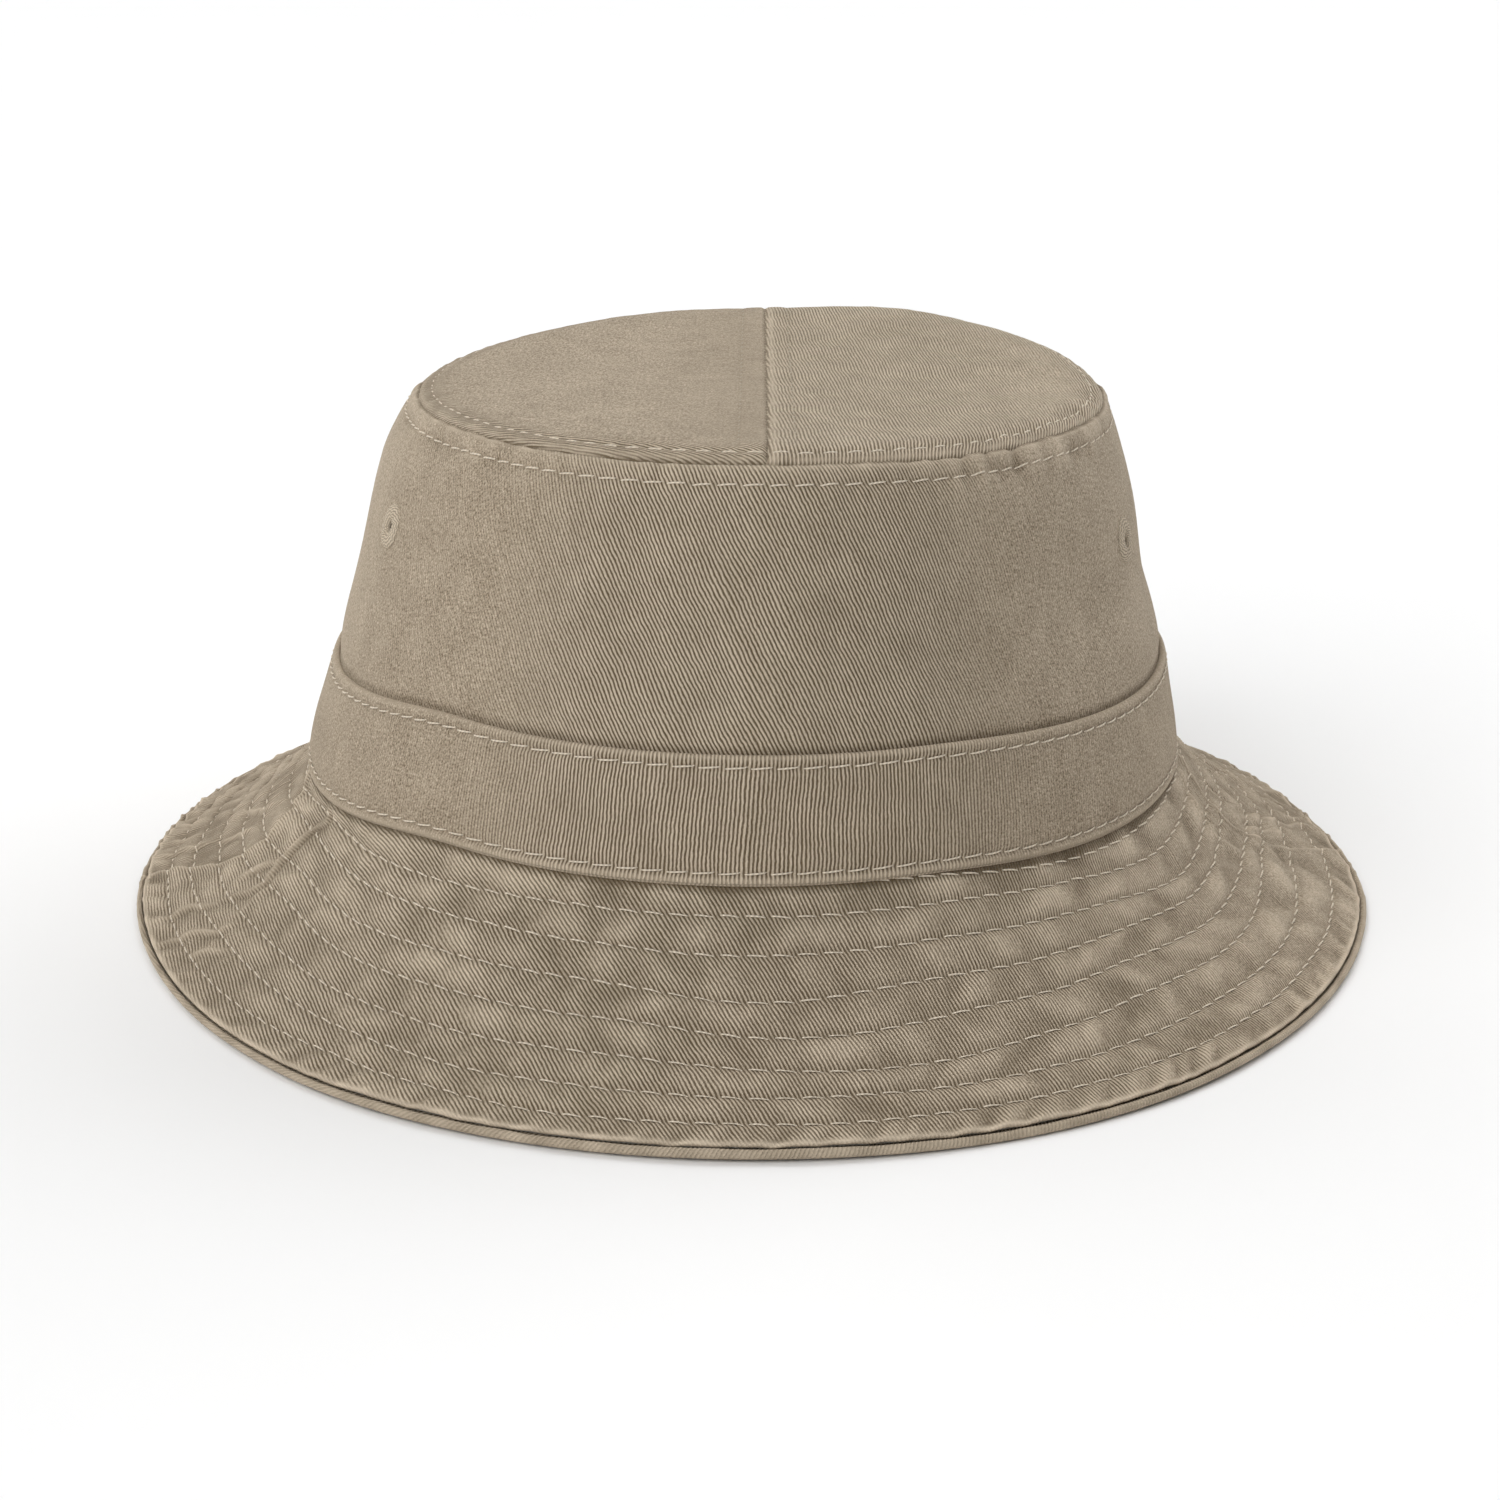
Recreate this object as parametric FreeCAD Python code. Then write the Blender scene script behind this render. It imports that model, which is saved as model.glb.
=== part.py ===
"""A stitched cloth bucket hat, size large (59 cm), standing on its brim edge.

Millimetres, +Z up, the wearer faces -Y.  Every horizontal outline of the hat is
the same four-arc oval moved in or out, so each ply is a flat section turned
about the centres of those four arcs.
"""
import FreeCAD
import Part
import math
import os

from FreeCAD import Vector

# Head oval, measured on the outside of the hatband where it meets the brim.
OVAL_HALF_WIDTH = 88.4
OVAL_HALF_LENGTH = 106.4
END_RADIUS = 76.0

# Cloth.
CLOTH = 0.7
LIGHT_CLOTH = 0.4
PLY_GAP = 0.05

# Crown side: a leaning wall that rounds over at the shoulder.
CROWN_LEAN = math.radians(11.2)
CROWN_FOOT = -1.15
WALL_LENGTH = 58.0
SHOULDER_RADIUS = 30.0
SHOULDER_LENGTH = 14.2

# Brim: one hollow curve, steep at the head and flatter at the edge.
BRIM_ROOT = -0.6
BRIM_STEEP = math.radians(55.0)
BRIM_FLAT = math.radians(21.0)
BRIM_LENGTH = 49.4
LIP = 1.6
INTERLINING = 0.5

# Bands and rows of stitching, as distances along the cloth.
BAND_WIDTH = 22.3
BAND_THICKNESS = 1.0
BAND_FOOT = 0.3
BAND_STITCH_INSET = 2.1
CROWN_STITCH_DROP = 4.2
TIP_STITCH_INSET = 3.2
SEAM_STITCH_OFFSET = 5.0
BRIM_SEAM_STITCH = 1.0
BRIM_ROWS = 7
FIRST_ROW = 5.0
ROW_PITCH = 6.45
THREAD_WIDTH = 0.5
THREAD_HEIGHT = 0.3

# Inside the head opening.
SWEATBAND_HEIGHT = 28.0
SWEATBAND_SKIN = 0.45
STIFFENER = 0.4
TAPE_WIDTH = 10.0

# Embroidered vent eyelets, one in front of and one behind each side seam:
# where each one is, as (outline angle, height up the wall).
EYELETS = {
    "right_rear": (23.0, 48.0),
    "left_rear": (157.0, 48.0),
    "left_front": (202.0, 50.6),
    "right_front": (340.6, 48.4),
}
EYELET_OUTER = 4.2
EYELET_HOLE = 1.5
CLOTH_HOLE = 2.4
EYELET_PROUD = 0.5

# Labels sewn by their top edge inside the back, as (width, drop).
CARE_LABEL = (26.0, 20.0)
SIZE_LABEL = (12.0, 15.0)
SIZE_LABEL_ANGLE = 30.0
LABEL_THICKNESS = 0.3
LABEL_TOP = 26.0
LABEL_CLEARANCE = 0.8
LABEL_BAR = 1.6
LABEL_GAP = 0.3


class Curve:
    """A section line made of straight and round runs, offset along its left normal."""

    def __init__(self, start, heading):
        self.runs = []
        self.end = start
        self.heading = heading
        self.length = 0.0

    def add(self, length, turn):
        """Carry on for a length, turning by an angle in radians (left is positive)."""
        self.runs.append((self.length, length, self.end, self.heading, turn))
        self.end = self.point(self.length + length, 0.0)
        self.heading += turn
        self.length += length
        return self

    def run_at(self, s):
        for run in self.runs:
            if s <= run[0] + run[1]:
                return run
        return self.runs[-1]

    def point(self, s, n):
        """The point s along the line and n to its left, as (offset, height)."""
        first, length, start, heading, turn = self.run_at(s)
        along = s - first
        direction = heading + turn * along / length
        if turn == 0.0:
            x = start[0] + along * math.cos(heading)
            z = start[1] + along * math.sin(heading)
        else:
            radius = length / turn
            x = start[0] + radius * (math.sin(direction) - math.sin(heading))
            z = start[1] - radius * (math.cos(direction) - math.cos(heading))
        return (x - n * math.sin(direction), z + n * math.cos(direction))

    def vector(self, s, n):
        x, z = self.point(s, n)
        return Vector(x, 0, z)

    def edges(self, s0, s1, n):
        """Edges from s0 to s1 (either way round) at the offset n."""
        low, high = min(s0, s1), max(s0, s1)
        stops = [low] + [run[0] for run in self.runs if low < run[0] < high] + [high]
        made = []
        for a, b in zip(stops, stops[1:]):
            middle = (a + b) / 2
            if self.run_at(middle)[4] == 0.0:
                made.append(Part.makeLine(self.vector(a, n), self.vector(b, n)))
            else:
                made.append(Part.Arc(self.vector(a, n), self.vector(middle, n), self.vector(b, n)).toShape())
        return made


def section(curve, corners):
    """A flat face whose corners are (s, n) pairs on a curve, in order."""
    edges = []
    for (s0, n0), (s1, n1) in zip(corners, corners[1:] + corners[:1]):
        if n0 == n1:
            edges += curve.edges(s0, s1, n0)
        else:
            edges.append(Part.makeLine(curve.vector(s0, n0), curve.vector(s1, n1)))
    return Part.Face(Part.Wire(Part.__sortEdges__(edges)))


def strip(curve, s0, s1, n0, n1):
    return section(curve, [(s0, n0), (s1, n0), (s1, n1), (s0, n1)])


def oval_arcs():
    """The oval's arcs as (centre, radius, first angle, last angle), anticlockwise from +X."""
    end_y = OVAL_HALF_LENGTH - END_RADIUS
    spare = OVAL_HALF_WIDTH - END_RADIUS
    side_x = (end_y ** 2 - spare ** 2) / (2 * spare)
    side_radius = OVAL_HALF_WIDTH + side_x
    turn = math.degrees(math.atan2(end_y, side_x))
    right, left = Vector(-side_x, 0, 0), Vector(side_x, 0, 0)
    back, front = Vector(0, end_y, 0), Vector(0, -end_y, 0)
    return [
        (right, side_radius, 0, turn),
        (back, END_RADIUS, turn, 180 - turn),
        (left, side_radius, 180 - turn, 180),
        (left, side_radius, 180, 180 + turn),
        (front, END_RADIUS, 180 + turn, 360 - turn),
        (right, side_radius, 360 - turn, 360),
    ]


BACK = (0, 180)
FRONT = (180, 360)
ROUND = (0, 360)


def sweep(face, span=ROUND):
    """Turn a section around the oval between two outline angles."""
    skins = []
    ends = []
    for centre, radius, first, last in oval_arcs():
        a, b = max(first, span[0]), min(last, span[1])
        if b - a < 1e-6:
            continue
        for angle in (a, b):
            end = face.copy()
            end.translate(Vector(radius, 0, 0))
            end.rotate(Vector(0, 0, 0), Vector(0, 0, 1), angle)
            end.translate(centre)
            ends.append(end)
        skins += [edge.revolve(centre, Vector(0, 0, 1), b - a) for edge in ends[-2].Edges]
    caps = [] if span == ROUND else [ends[0], ends[-1]]
    shell = Part.makeShell(skins + caps)
    shell.sewShape()
    solid = Part.makeSolid(shell)
    if solid.Volume < 0:
        solid.reverse()
    return solid


def oval_plate(offset, low, high):
    """A flat plate filling the oval moved outwards by an offset."""
    edges = []
    for centre, radius, first, last in oval_arcs():
        angles = [math.radians(a) for a in (first, (first + last) / 2, last)]
        r = radius + offset
        points = [centre + Vector(r * math.cos(a), r * math.sin(a), low) for a in angles]
        edges.append(Part.Arc(*points).toShape())
    return Part.Face(Part.Wire(edges)).extrude(Vector(0, 0, high - low))


def block(x0, x1, y0, y1, z0, z1):
    return Part.makeBox(x1 - x0, y1 - y0, z1 - z0, Vector(x0, y0, z0))


def outline_point(offset, angle):
    """The point of the offset oval where it faces an outline angle."""
    for centre, radius, first, last in oval_arcs():
        if first <= angle <= last:
            a = math.radians(angle)
            return centre + Vector(math.cos(a), math.sin(a), 0) * (radius + offset)
    raise ValueError(angle)


def brim_curve(root_z):
    """Upper face of the brim, from the head seam out to the edge."""
    curve = Curve((BRIM_ROOT, root_z), -BRIM_STEEP)
    return curve.add(BRIM_LENGTH + LIP, BRIM_STEEP - BRIM_FLAT)


def crown_curve(root_z):
    """Outer face of the crown side, from the brim seam up to the tip seam."""
    curve = Curve((CROWN_FOOT, root_z - 0.25), math.pi / 2 + CROWN_LEAN)
    curve.add(WALL_LENGTH, 0.0)
    return curve.add(SHOULDER_LENGTH, SHOULDER_LENGTH / SHOULDER_RADIUS)


BRIM_DEPTH = 2 * CLOTH + INTERLINING + 2 * PLY_GAP
ROOT_Z = -brim_curve(0.0).point(BRIM_LENGTH + LIP, -BRIM_DEPTH)[1]
BRIM = brim_curve(ROOT_Z)
CROWN = crown_curve(ROOT_Z)
TIP_OFFSET, TIP_SEAM_Z = CROWN.point(CROWN.length, 0.0)
TIP_LOW = TIP_SEAM_Z + PLY_GAP
TIP_HIGH = TIP_LOW + CLOTH


def thread_ring(curve, s, n0, n1):
    return sweep(strip(curve, s - THREAD_WIDTH / 2, s + THREAD_WIDTH / 2, n0, n1))


def brim_plies():
    """Upper ply, interlining, and the under ply that rolls up round the edge."""
    top = strip(BRIM, 0.0, BRIM_LENGTH, -CLOTH, 0.0)
    middle_high = -CLOTH - PLY_GAP
    middle = strip(BRIM, 0.0, BRIM_LENGTH - 1.0, middle_high - INTERLINING, middle_high)
    low = middle_high - INTERLINING - PLY_GAP
    rim = BRIM_LENGTH + LIP
    under = section(BRIM, [(0.0, -BRIM_DEPTH), (rim, -BRIM_DEPTH), (rim, -0.1),
                           (BRIM_LENGTH + PLY_GAP, -0.1), (BRIM_LENGTH + PLY_GAP, low), (0.0, low)])
    return {"top": top, "interlining": middle, "under": under}


def brim_stitch(s):
    """One lockstitched row: a thread on the upper face and one on the under face."""
    upper = thread_ring(BRIM, s, 0.01, THREAD_HEIGHT)
    lower = thread_ring(BRIM, s, -BRIM_DEPTH - THREAD_HEIGHT, -BRIM_DEPTH - 0.01)
    return Part.makeCompound([upper, lower])


def crown_frame(angle, s):
    """A point on the crown's outer face and the outward direction there."""
    offset, height = CROWN.point(s, 0.0)
    point = outline_point(offset, angle)
    point.z = height
    a = math.radians(angle)
    out = Vector(math.cos(a) * math.cos(CROWN_LEAN), math.sin(a) * math.cos(CROWN_LEAN), math.sin(CROWN_LEAN))
    return point, out


def eyelet_rod(place, radius, proud):
    point, out = crown_frame(*EYELETS[place])
    return Part.makeCylinder(radius, CLOTH + 2 * proud, point - out * (CLOTH + proud), out)


def crown_sides():
    """Both wall panels, with the holes that the eyelets bind."""
    wall = strip(CROWN, 0.0, CROWN.length, 0.0, CLOTH)
    panels = {"front": sweep(wall, FRONT), "back": sweep(wall, BACK)}
    for place in EYELETS:
        side = eyelet_panel(place)
        panels[side] = panels[side].cut(eyelet_rod(place, CLOTH_HOLE, 3.0))
    return panels


def eyelet_panel(place):
    """The wall panel that an eyelet is in."""
    return "front" if place.endswith("front") else "back"


def eyelet(place, panel):
    """A satin-stitched ring that wraps the edge of its hole on both faces."""
    ring = eyelet_rod(place, EYELET_OUTER, EYELET_PROUD)
    ring = ring.cut(eyelet_rod(place, EYELET_HOLE, 3.0))
    return ring.cut(panel)


def tip_half(side):
    plate = oval_plate(TIP_OFFSET, TIP_LOW, TIP_HIGH)
    return plate.common(block(min(0, side * 200), max(0, side * 200), -200, 200, TIP_LOW, TIP_HIGH))


def tip_line(x, width, low, high, inset):
    """A straight strip front to back over the tip, stopping short of its seam."""
    bar = block(x - width / 2, x + width / 2, -200, 200, low, high)
    return bar.common(oval_plate(TIP_OFFSET - inset, low, high))


def tip_ring():
    """The topstitching just inside the tip's edge."""
    outer = TIP_OFFSET - TIP_STITCH_INSET + THREAD_WIDTH / 2
    high = TIP_HIGH + THREAD_HEIGHT
    ring = oval_plate(outer, TIP_HIGH + 0.01, high)
    return ring.cut(oval_plate(outer - THREAD_WIDTH, TIP_HIGH, high))


def sweatband():
    """A strip folded over at the top, and the stiffener inside the fold."""
    near = CLOTH + 0.35
    far = near + 2 * SWEATBAND_SKIN + STIFFENER + 2 * PLY_GAP
    inner = far - SWEATBAND_SKIN
    outer = near + SWEATBAND_SKIN
    hem = SWEATBAND_HEIGHT - SWEATBAND_SKIN
    cloth = section(CROWN, [(0.5, near), (SWEATBAND_HEIGHT, near), (SWEATBAND_HEIGHT, far), (0.5, far),
                            (0.5, inner), (hem, inner), (hem, outer), (0.5, outer)])
    filler = strip(CROWN, 0.5, hem - 1.0, outer + PLY_GAP, inner - PLY_GAP)
    return sweep(cloth), sweep(filler), far


def label_parts(size, angle, face_n):
    """A hanging label and the bar of stitching over it, turned round the back by an angle."""
    width, drop = size
    offset, top = CROWN.point(LABEL_TOP, face_n)
    bend = END_RADIUS + offset
    sag = bend - math.sqrt(bend ** 2 - (width / 2) ** 2)
    outer = OVAL_HALF_LENGTH + offset - sag - LABEL_CLEARANCE
    inner = outer - LABEL_THICKNESS
    label = block(-width / 2, width / 2, inner, outer, top - drop, top)
    low = top + LABEL_GAP
    bar = block(-width / 2, width / 2, inner, outer + sag + 4.0, low, low + LABEL_BAR)
    pivot = Vector(0, OVAL_HALF_LENGTH - END_RADIUS, 0)
    for shape in (label, bar):
        shape.rotate(pivot, Vector(0, 0, 1), angle)
    bar = bar.cut(sweep(strip(CROWN, 0.0, SWEATBAND_HEIGHT + 4.0, -4.0, face_n), BACK))
    return label, bar


def main():
    os.makedirs("parts", exist_ok=True)
    nodes = {}
    plies = brim_plies()
    for layer, face in plies.items():
        nodes["brim_" + layer + "_front"] = sweep(face, FRONT)
        nodes["brim_" + layer + "_back"] = sweep(face, BACK)
    nodes["brim_seam_stitch"] = brim_stitch(BRIM_SEAM_STITCH)
    for row in range(BRIM_ROWS):
        nodes["brim_stitch_" + str(row + 1)] = brim_stitch(FIRST_ROW + row * ROW_PITCH)

    panels = crown_sides()
    for side, panel in panels.items():
        nodes["crown_side_" + side] = panel
    for place in EYELETS:
        nodes["eyelet_" + place] = eyelet(place, panels[eyelet_panel(place)])
    nodes["crown_tip_left"] = tip_half(-1)
    nodes["crown_tip_right"] = tip_half(1)

    band_low, band_high = BAND_FOOT, BAND_FOOT + BAND_WIDTH
    band_out = -PLY_GAP - BAND_THICKNESS
    nodes["hatband"] = sweep(strip(CROWN, band_low, band_high, band_out, -PLY_GAP))
    for place, s in (("lower", band_low + BAND_STITCH_INSET), ("upper", band_high - BAND_STITCH_INSET)):
        nodes["hatband_stitch_" + place] = thread_ring(CROWN, s, band_out - THREAD_HEIGHT, band_out - 0.01)

    tape_in = CLOTH + PLY_GAP
    tape_out = tape_in + LIGHT_CLOTH
    seam = CROWN.length
    nodes["crown_seam_tape"] = sweep(strip(CROWN, seam - TAPE_WIDTH, seam - 0.6, tape_in, tape_out))
    nodes["crown_topstitch"] = Part.makeCompound([
        thread_ring(CROWN, seam - CROWN_STITCH_DROP, -THREAD_HEIGHT, -0.01),
        thread_ring(CROWN, seam - CROWN_STITCH_DROP, tape_out + 0.01, tape_out + THREAD_HEIGHT)])
    side_tape = strip(CROWN, SWEATBAND_HEIGHT + 1.0, seam - TAPE_WIDTH - 1.0, tape_in, tape_out)
    half_angle = math.degrees(TAPE_WIDTH / 2 / oval_arcs()[0][1])
    nodes["side_seam_tape_left"] = sweep(side_tape, (180 - half_angle, 180 + half_angle))
    nodes["side_seam_tape_right"] = nodes["side_seam_tape_left"].mirror(Vector(0, 0, 0), Vector(1, 0, 0))

    nodes["tip_seam_tape"] = tip_line(0, TAPE_WIDTH + 2, TIP_LOW - PLY_GAP - LIGHT_CLOTH, TIP_LOW - PLY_GAP, 3.0)
    for place, x in (("left", -SEAM_STITCH_OFFSET), ("right", SEAM_STITCH_OFFSET)):
        nodes["tip_seam_stitch_" + place] = tip_line(
            x, THREAD_WIDTH, TIP_HIGH + 0.01, TIP_HIGH + THREAD_HEIGHT, TIP_STITCH_INSET + 1.0)
    nodes["tip_edge_stitch"] = tip_ring()

    band, filler, face_n = sweatband()
    nodes["sweatband"] = band
    nodes["sweatband_stiffener"] = filler
    for place, s in (("lower", 2.0), ("upper", SWEATBAND_HEIGHT - 3.0)):
        nodes["sweatband_stitch_" + place] = thread_ring(CROWN, s, face_n + 0.01, face_n + THREAD_HEIGHT)
    for name, size, angle in (("care_label", CARE_LABEL, 0), ("size_label", SIZE_LABEL, SIZE_LABEL_ANGLE)):
        label, bar = label_parts(size, angle, face_n)
        nodes[name] = label
        nodes[name + "_stitch"] = bar

    for name, shape in nodes.items():
        shape.exportStep("parts/" + name + ".step")


main()
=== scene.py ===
"""Looks of a washed khaki twill bucket hat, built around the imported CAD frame.

Lengths are millimetres until a mesh is written.  A point of the hat is given by
the direction theta that its outline faces, the distance s along the cloth and
the height n above it.  The front of the hat faces -Y, which is theta = -90.
"""
import math

import bpy
import numpy as np
from mathutils import Matrix, Vector


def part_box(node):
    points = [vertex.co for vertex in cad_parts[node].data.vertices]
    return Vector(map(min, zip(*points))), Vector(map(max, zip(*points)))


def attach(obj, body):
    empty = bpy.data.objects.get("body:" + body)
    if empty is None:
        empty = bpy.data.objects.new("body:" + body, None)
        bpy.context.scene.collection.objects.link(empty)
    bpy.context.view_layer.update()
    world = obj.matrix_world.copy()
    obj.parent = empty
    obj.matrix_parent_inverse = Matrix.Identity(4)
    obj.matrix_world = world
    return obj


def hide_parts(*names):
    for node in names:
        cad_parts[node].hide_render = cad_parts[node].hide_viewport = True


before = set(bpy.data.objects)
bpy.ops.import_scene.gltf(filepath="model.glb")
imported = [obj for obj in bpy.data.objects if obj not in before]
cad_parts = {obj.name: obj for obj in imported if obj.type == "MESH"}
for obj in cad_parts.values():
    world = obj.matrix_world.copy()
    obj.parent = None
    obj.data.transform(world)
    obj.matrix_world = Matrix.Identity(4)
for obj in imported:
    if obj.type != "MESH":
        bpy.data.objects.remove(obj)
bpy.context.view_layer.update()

MM = 0.001
TAU = 2 * math.pi

# ---------------------------------------------------------------- sections

# The plan of the head seam: an oval of two end arcs and two flatter side arcs.
HALF_WIDTH, HALF_LENGTH, END_RADIUS = 88.4, 106.4, 76.0
END_Y = HALF_LENGTH - END_RADIUS
SPARE = HALF_WIDTH - END_RADIUS
SIDE_X = (END_Y ** 2 - SPARE ** 2) / (2 * SPARE)
SIDE_RADIUS = HALF_WIDTH + SIDE_X
TURN = math.atan2(END_Y, SIDE_X)

ROOT_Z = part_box("brim_top_front")[1].z / MM
CLOTH = 0.7
BRIM_STEEP, BRIM_FLAT, BRIM_REACH = math.radians(55), math.radians(21), 51.0
BRIM_RADIUS = BRIM_REACH / (BRIM_STEEP - BRIM_FLAT)
BRIM_EDGE = 49.4
CROWN_LEAN = math.radians(11.2)
WALL, SHOULDER_RADIUS, CROWN_TOP = 58.0, 30.0, 72.2
BAND_FOOT, BAND_TOP, BAND_THICK = 0.2, 22.5, 1.15
HAT_RISE = CROWN_TOP * math.cos(CROWN_LEAN)


def outline(theta, d):
    """Plan position of the oval moved outwards by d, where it faces theta."""
    c, s = np.cos(theta), np.sin(theta)
    side = np.arctan2(np.abs(s), np.abs(c)) < TURN
    cx = np.where(side, -np.sign(c) * SIDE_X, 0.0)
    cy = np.where(side, 0.0, np.sign(s) * END_Y)
    r = np.where(side, SIDE_RADIUS, END_RADIUS) + d
    return cx + r * c, cy + r * s


# The outline's direction and bend, and the length round it from the front.
TABLE_THETA = np.radians(np.linspace(-280, 290, 11401))
FOLDED = np.arctan2(np.abs(np.sin(TABLE_THETA)), np.abs(np.cos(TABLE_THETA)))
BEND = np.where(FOLDED < TURN, SIDE_RADIUS, END_RADIUS)
TABLE_ARC = np.concatenate([[0], np.cumsum((BEND[1:] + BEND[:-1]) / 2 * np.diff(TABLE_THETA))])
TABLE_ARC -= np.interp(-math.pi / 2, TABLE_THETA, TABLE_ARC)


def arc(theta, d):
    """Distance round the outline from the front, on the oval moved out by d."""
    return np.interp(theta, TABLE_THETA, TABLE_ARC) + d * (theta + math.pi / 2)


def flat_pattern(theta, s, cone):
    """Cloth coordinates of a cone unrolled flat; cone is how fast its radius grows with s."""
    turn = cone * (TABLE_THETA + math.pi / 2)
    mid = (turn[1:] + turn[:-1]) / 2
    here = cone * (theta + math.pi / 2)
    places = []
    for heading, outwards in ((np.cos(mid), np.sin(here)), (np.sin(mid), -np.cos(here))):
        line = np.concatenate([[0], np.cumsum(np.diff(TABLE_ARC) * heading)])
        line -= np.interp(-math.pi / 2, TABLE_THETA, line)
        places.append(np.interp(theta, TABLE_THETA, line) + s * outwards)
    return np.stack(places, -1)


def closed_uv(uv):
    """Cloth coordinates with their first column again at the end, for a section that is a closed loop."""
    return np.concatenate([uv, uv[:, :1]], axis=1)


def brim_section(s, n):
    """Distance outside the oval and height, from the head seam down the brim."""
    heading = -BRIM_STEEP + s / BRIM_RADIUS
    d = -0.6 + BRIM_RADIUS * (np.sin(heading) + math.sin(BRIM_STEEP))
    z = ROOT_Z - BRIM_RADIUS * (np.cos(heading) - math.cos(BRIM_STEEP))
    return d - n * np.sin(heading), z + n * np.cos(heading)


def crown_section(s, n):
    """Distance outside the oval and height, from the head seam up the wall; n grows inwards."""
    straight = np.minimum(s, WALL)
    lean = CROWN_LEAN + np.maximum(s - WALL, 0) / SHOULDER_RADIUS
    d = -1.15 - straight * math.sin(CROWN_LEAN) + SHOULDER_RADIUS * (np.cos(lean) - math.cos(CROWN_LEAN))
    z = ROOT_Z - 0.25 + straight * math.cos(CROWN_LEAN)
    z = z + SHOULDER_RADIUS * (np.sin(lean) - math.sin(CROWN_LEAN))
    return d - n * np.cos(lean), z - n * np.sin(lean)


def crown_offset(s):
    """How far the wall's face lies outside the oval at height s."""
    return float(crown_section(s, 0.0)[0])


def step(x, low, high):
    """Smoothly from 0, where x is low, to 1."""
    t = np.clip((x - low) / (high - low), 0, 1)
    return t * t * (3 - 2 * t)


def bump(x, centre, width):
    return np.exp(-((x - centre) / width) ** 2)


def settle(x, y, z):
    """The worn hat's own shape: it droops at both sides, and the crown leans and narrows to the right."""
    up = np.clip((z - ROOT_Z) / HAT_RISE, 0, 1.2)
    below = np.clip(z / ROOT_Z, 0, 1)
    back = y / 88.0
    droop = 5.8 * step(-x, 50, 88) + 3.6 * step(x, 30, 78)
    z = z - droop * np.minimum(below, 1 - step(up, 0.25, 0.95))
    right = 2.1 * step(up, 0.30, 0.55) * step(x, 0, 62) + 1.2 * bump(up, 0.88, 0.12) * step(x, 30, 66)
    left = 1.2 * bump(up, 0.92, 0.12) * step(-x, 15, 60)
    full = step(z + droop, ROOT_Z - 4, ROOT_Z + 1) * (1.5 * bump(up, 0.08, 0.14) + 0.7 * bump(up, 0.34, 0.18))
    full = full * (0.5 * step(x, 45, 85) - step(-x, 45, 85)) + 0.9 * step(-x, 95, 122)
    x = x * (0.994 + 0.006 * below) - 1.2 * below + 3.7 * up - right + left + full
    y = y * (0.997 + 0.003 * below)
    sunk = -1.7 + 0.6 * back + 2.3 * back ** 2 + 2.3 * step(x, 0, 40) * step(y, -20, 50)
    z = z + up ** 2 * sunk
    return np.stack([x, y, np.maximum(z, 0.03)], axis=-1)


# ---------------------------------------------------------------- noise and folds

def lattice(ix, iy, seed):
    """A settled random angle for each whole-numbered point."""
    h = (ix.astype(np.int64) * 374761393 + iy.astype(np.int64) * 668265263 + seed * 1274126177) & 0xFFFFFFFF
    h = ((h ^ (h >> 13)) * 1103515245) & 0xFFFFFFFF
    h = ((h ^ (h >> 16)) * 2246822519) & 0xFFFFFFFF
    return (h ^ (h >> 15)) / 4294967296.0 * TAU


def noise(x, y, seed, period=None):
    """Gradient noise, about -1 to 1; x repeats after period cells."""
    x, y = np.broadcast_arrays(np.asarray(x, float), np.asarray(y, float))
    ix, iy = np.floor(x), np.floor(y)
    fx, fy = x - ix, y - iy
    wx, wy = fx ** 3 * (fx * (fx * 6 - 15) + 10), fy ** 3 * (fy * (fy * 6 - 15) + 10)

    def corner(i, j):
        gx = ix + i
        if period:
            gx = np.mod(gx, period)
        a = lattice(gx, iy + j, seed)
        return np.cos(a) * (fx - i) + np.sin(a) * (fy - j)

    low = corner(0, 0) * (1 - wx) + corner(1, 0) * wx
    high = corner(0, 1) * (1 - wx) + corner(1, 1) * wx
    return 1.5 * (low * (1 - wy) + high * wy)


def ring_noise(theta, cells, y, seed, shift=0.0):
    """Noise with a whole number of cells round the hat."""
    return noise((theta + math.pi / 2) / TAU * cells + shift, y, seed, cells)


def facing(theta, degrees, width):
    """One near a direction, fading over a width in degrees, the short way round."""
    away = np.degrees(np.angle(np.exp(1j * (theta - math.radians(degrees)))))
    return np.exp(-(away / width) ** 2)


def crease(theta, s, points, scale):
    """Distance from a line of (degrees, s) points, the side it is on, and how far along it is."""
    away = np.angle(np.exp(1j * (theta - math.radians(points[0][0]))))
    x = away * scale
    y = s + 0.7 * noise(x / 5, s / 6, 17)
    x = x + 0.9 * noise(x / 6, s / 5, 16)
    best = np.full(np.shape(x), 1e9)
    side = np.zeros(np.shape(x))
    along = np.zeros(np.shape(x))
    count = len(points) - 1
    for k, ((a0, s0), (a1, s1)) in enumerate(zip(points, points[1:])):
        x0 = math.radians(a0 - points[0][0]) * scale
        x1 = math.radians(a1 - points[0][0]) * scale
        dx, dy = x1 - x0, s1 - s0
        t = np.clip(((x - x0) * dx + (y - s0) * dy) / (dx * dx + dy * dy), 0, 1)
        far = np.hypot(x - x0 - t * dx, y - s0 - t * dy)
        nearer = far < best
        best = np.where(nearer, far, best)
        side = np.where(nearer, np.sign((x - x0) * dy - (y - s0) * dx), side)
        along = np.where(nearer, (k + t) / count, along)
    return best, side, along


# ---------------------------------------------------------------- the brim's relief

ROWS = [5.2, 11.5, 18.3, 24.7, 31.3, 38.0, 43.9]
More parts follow.
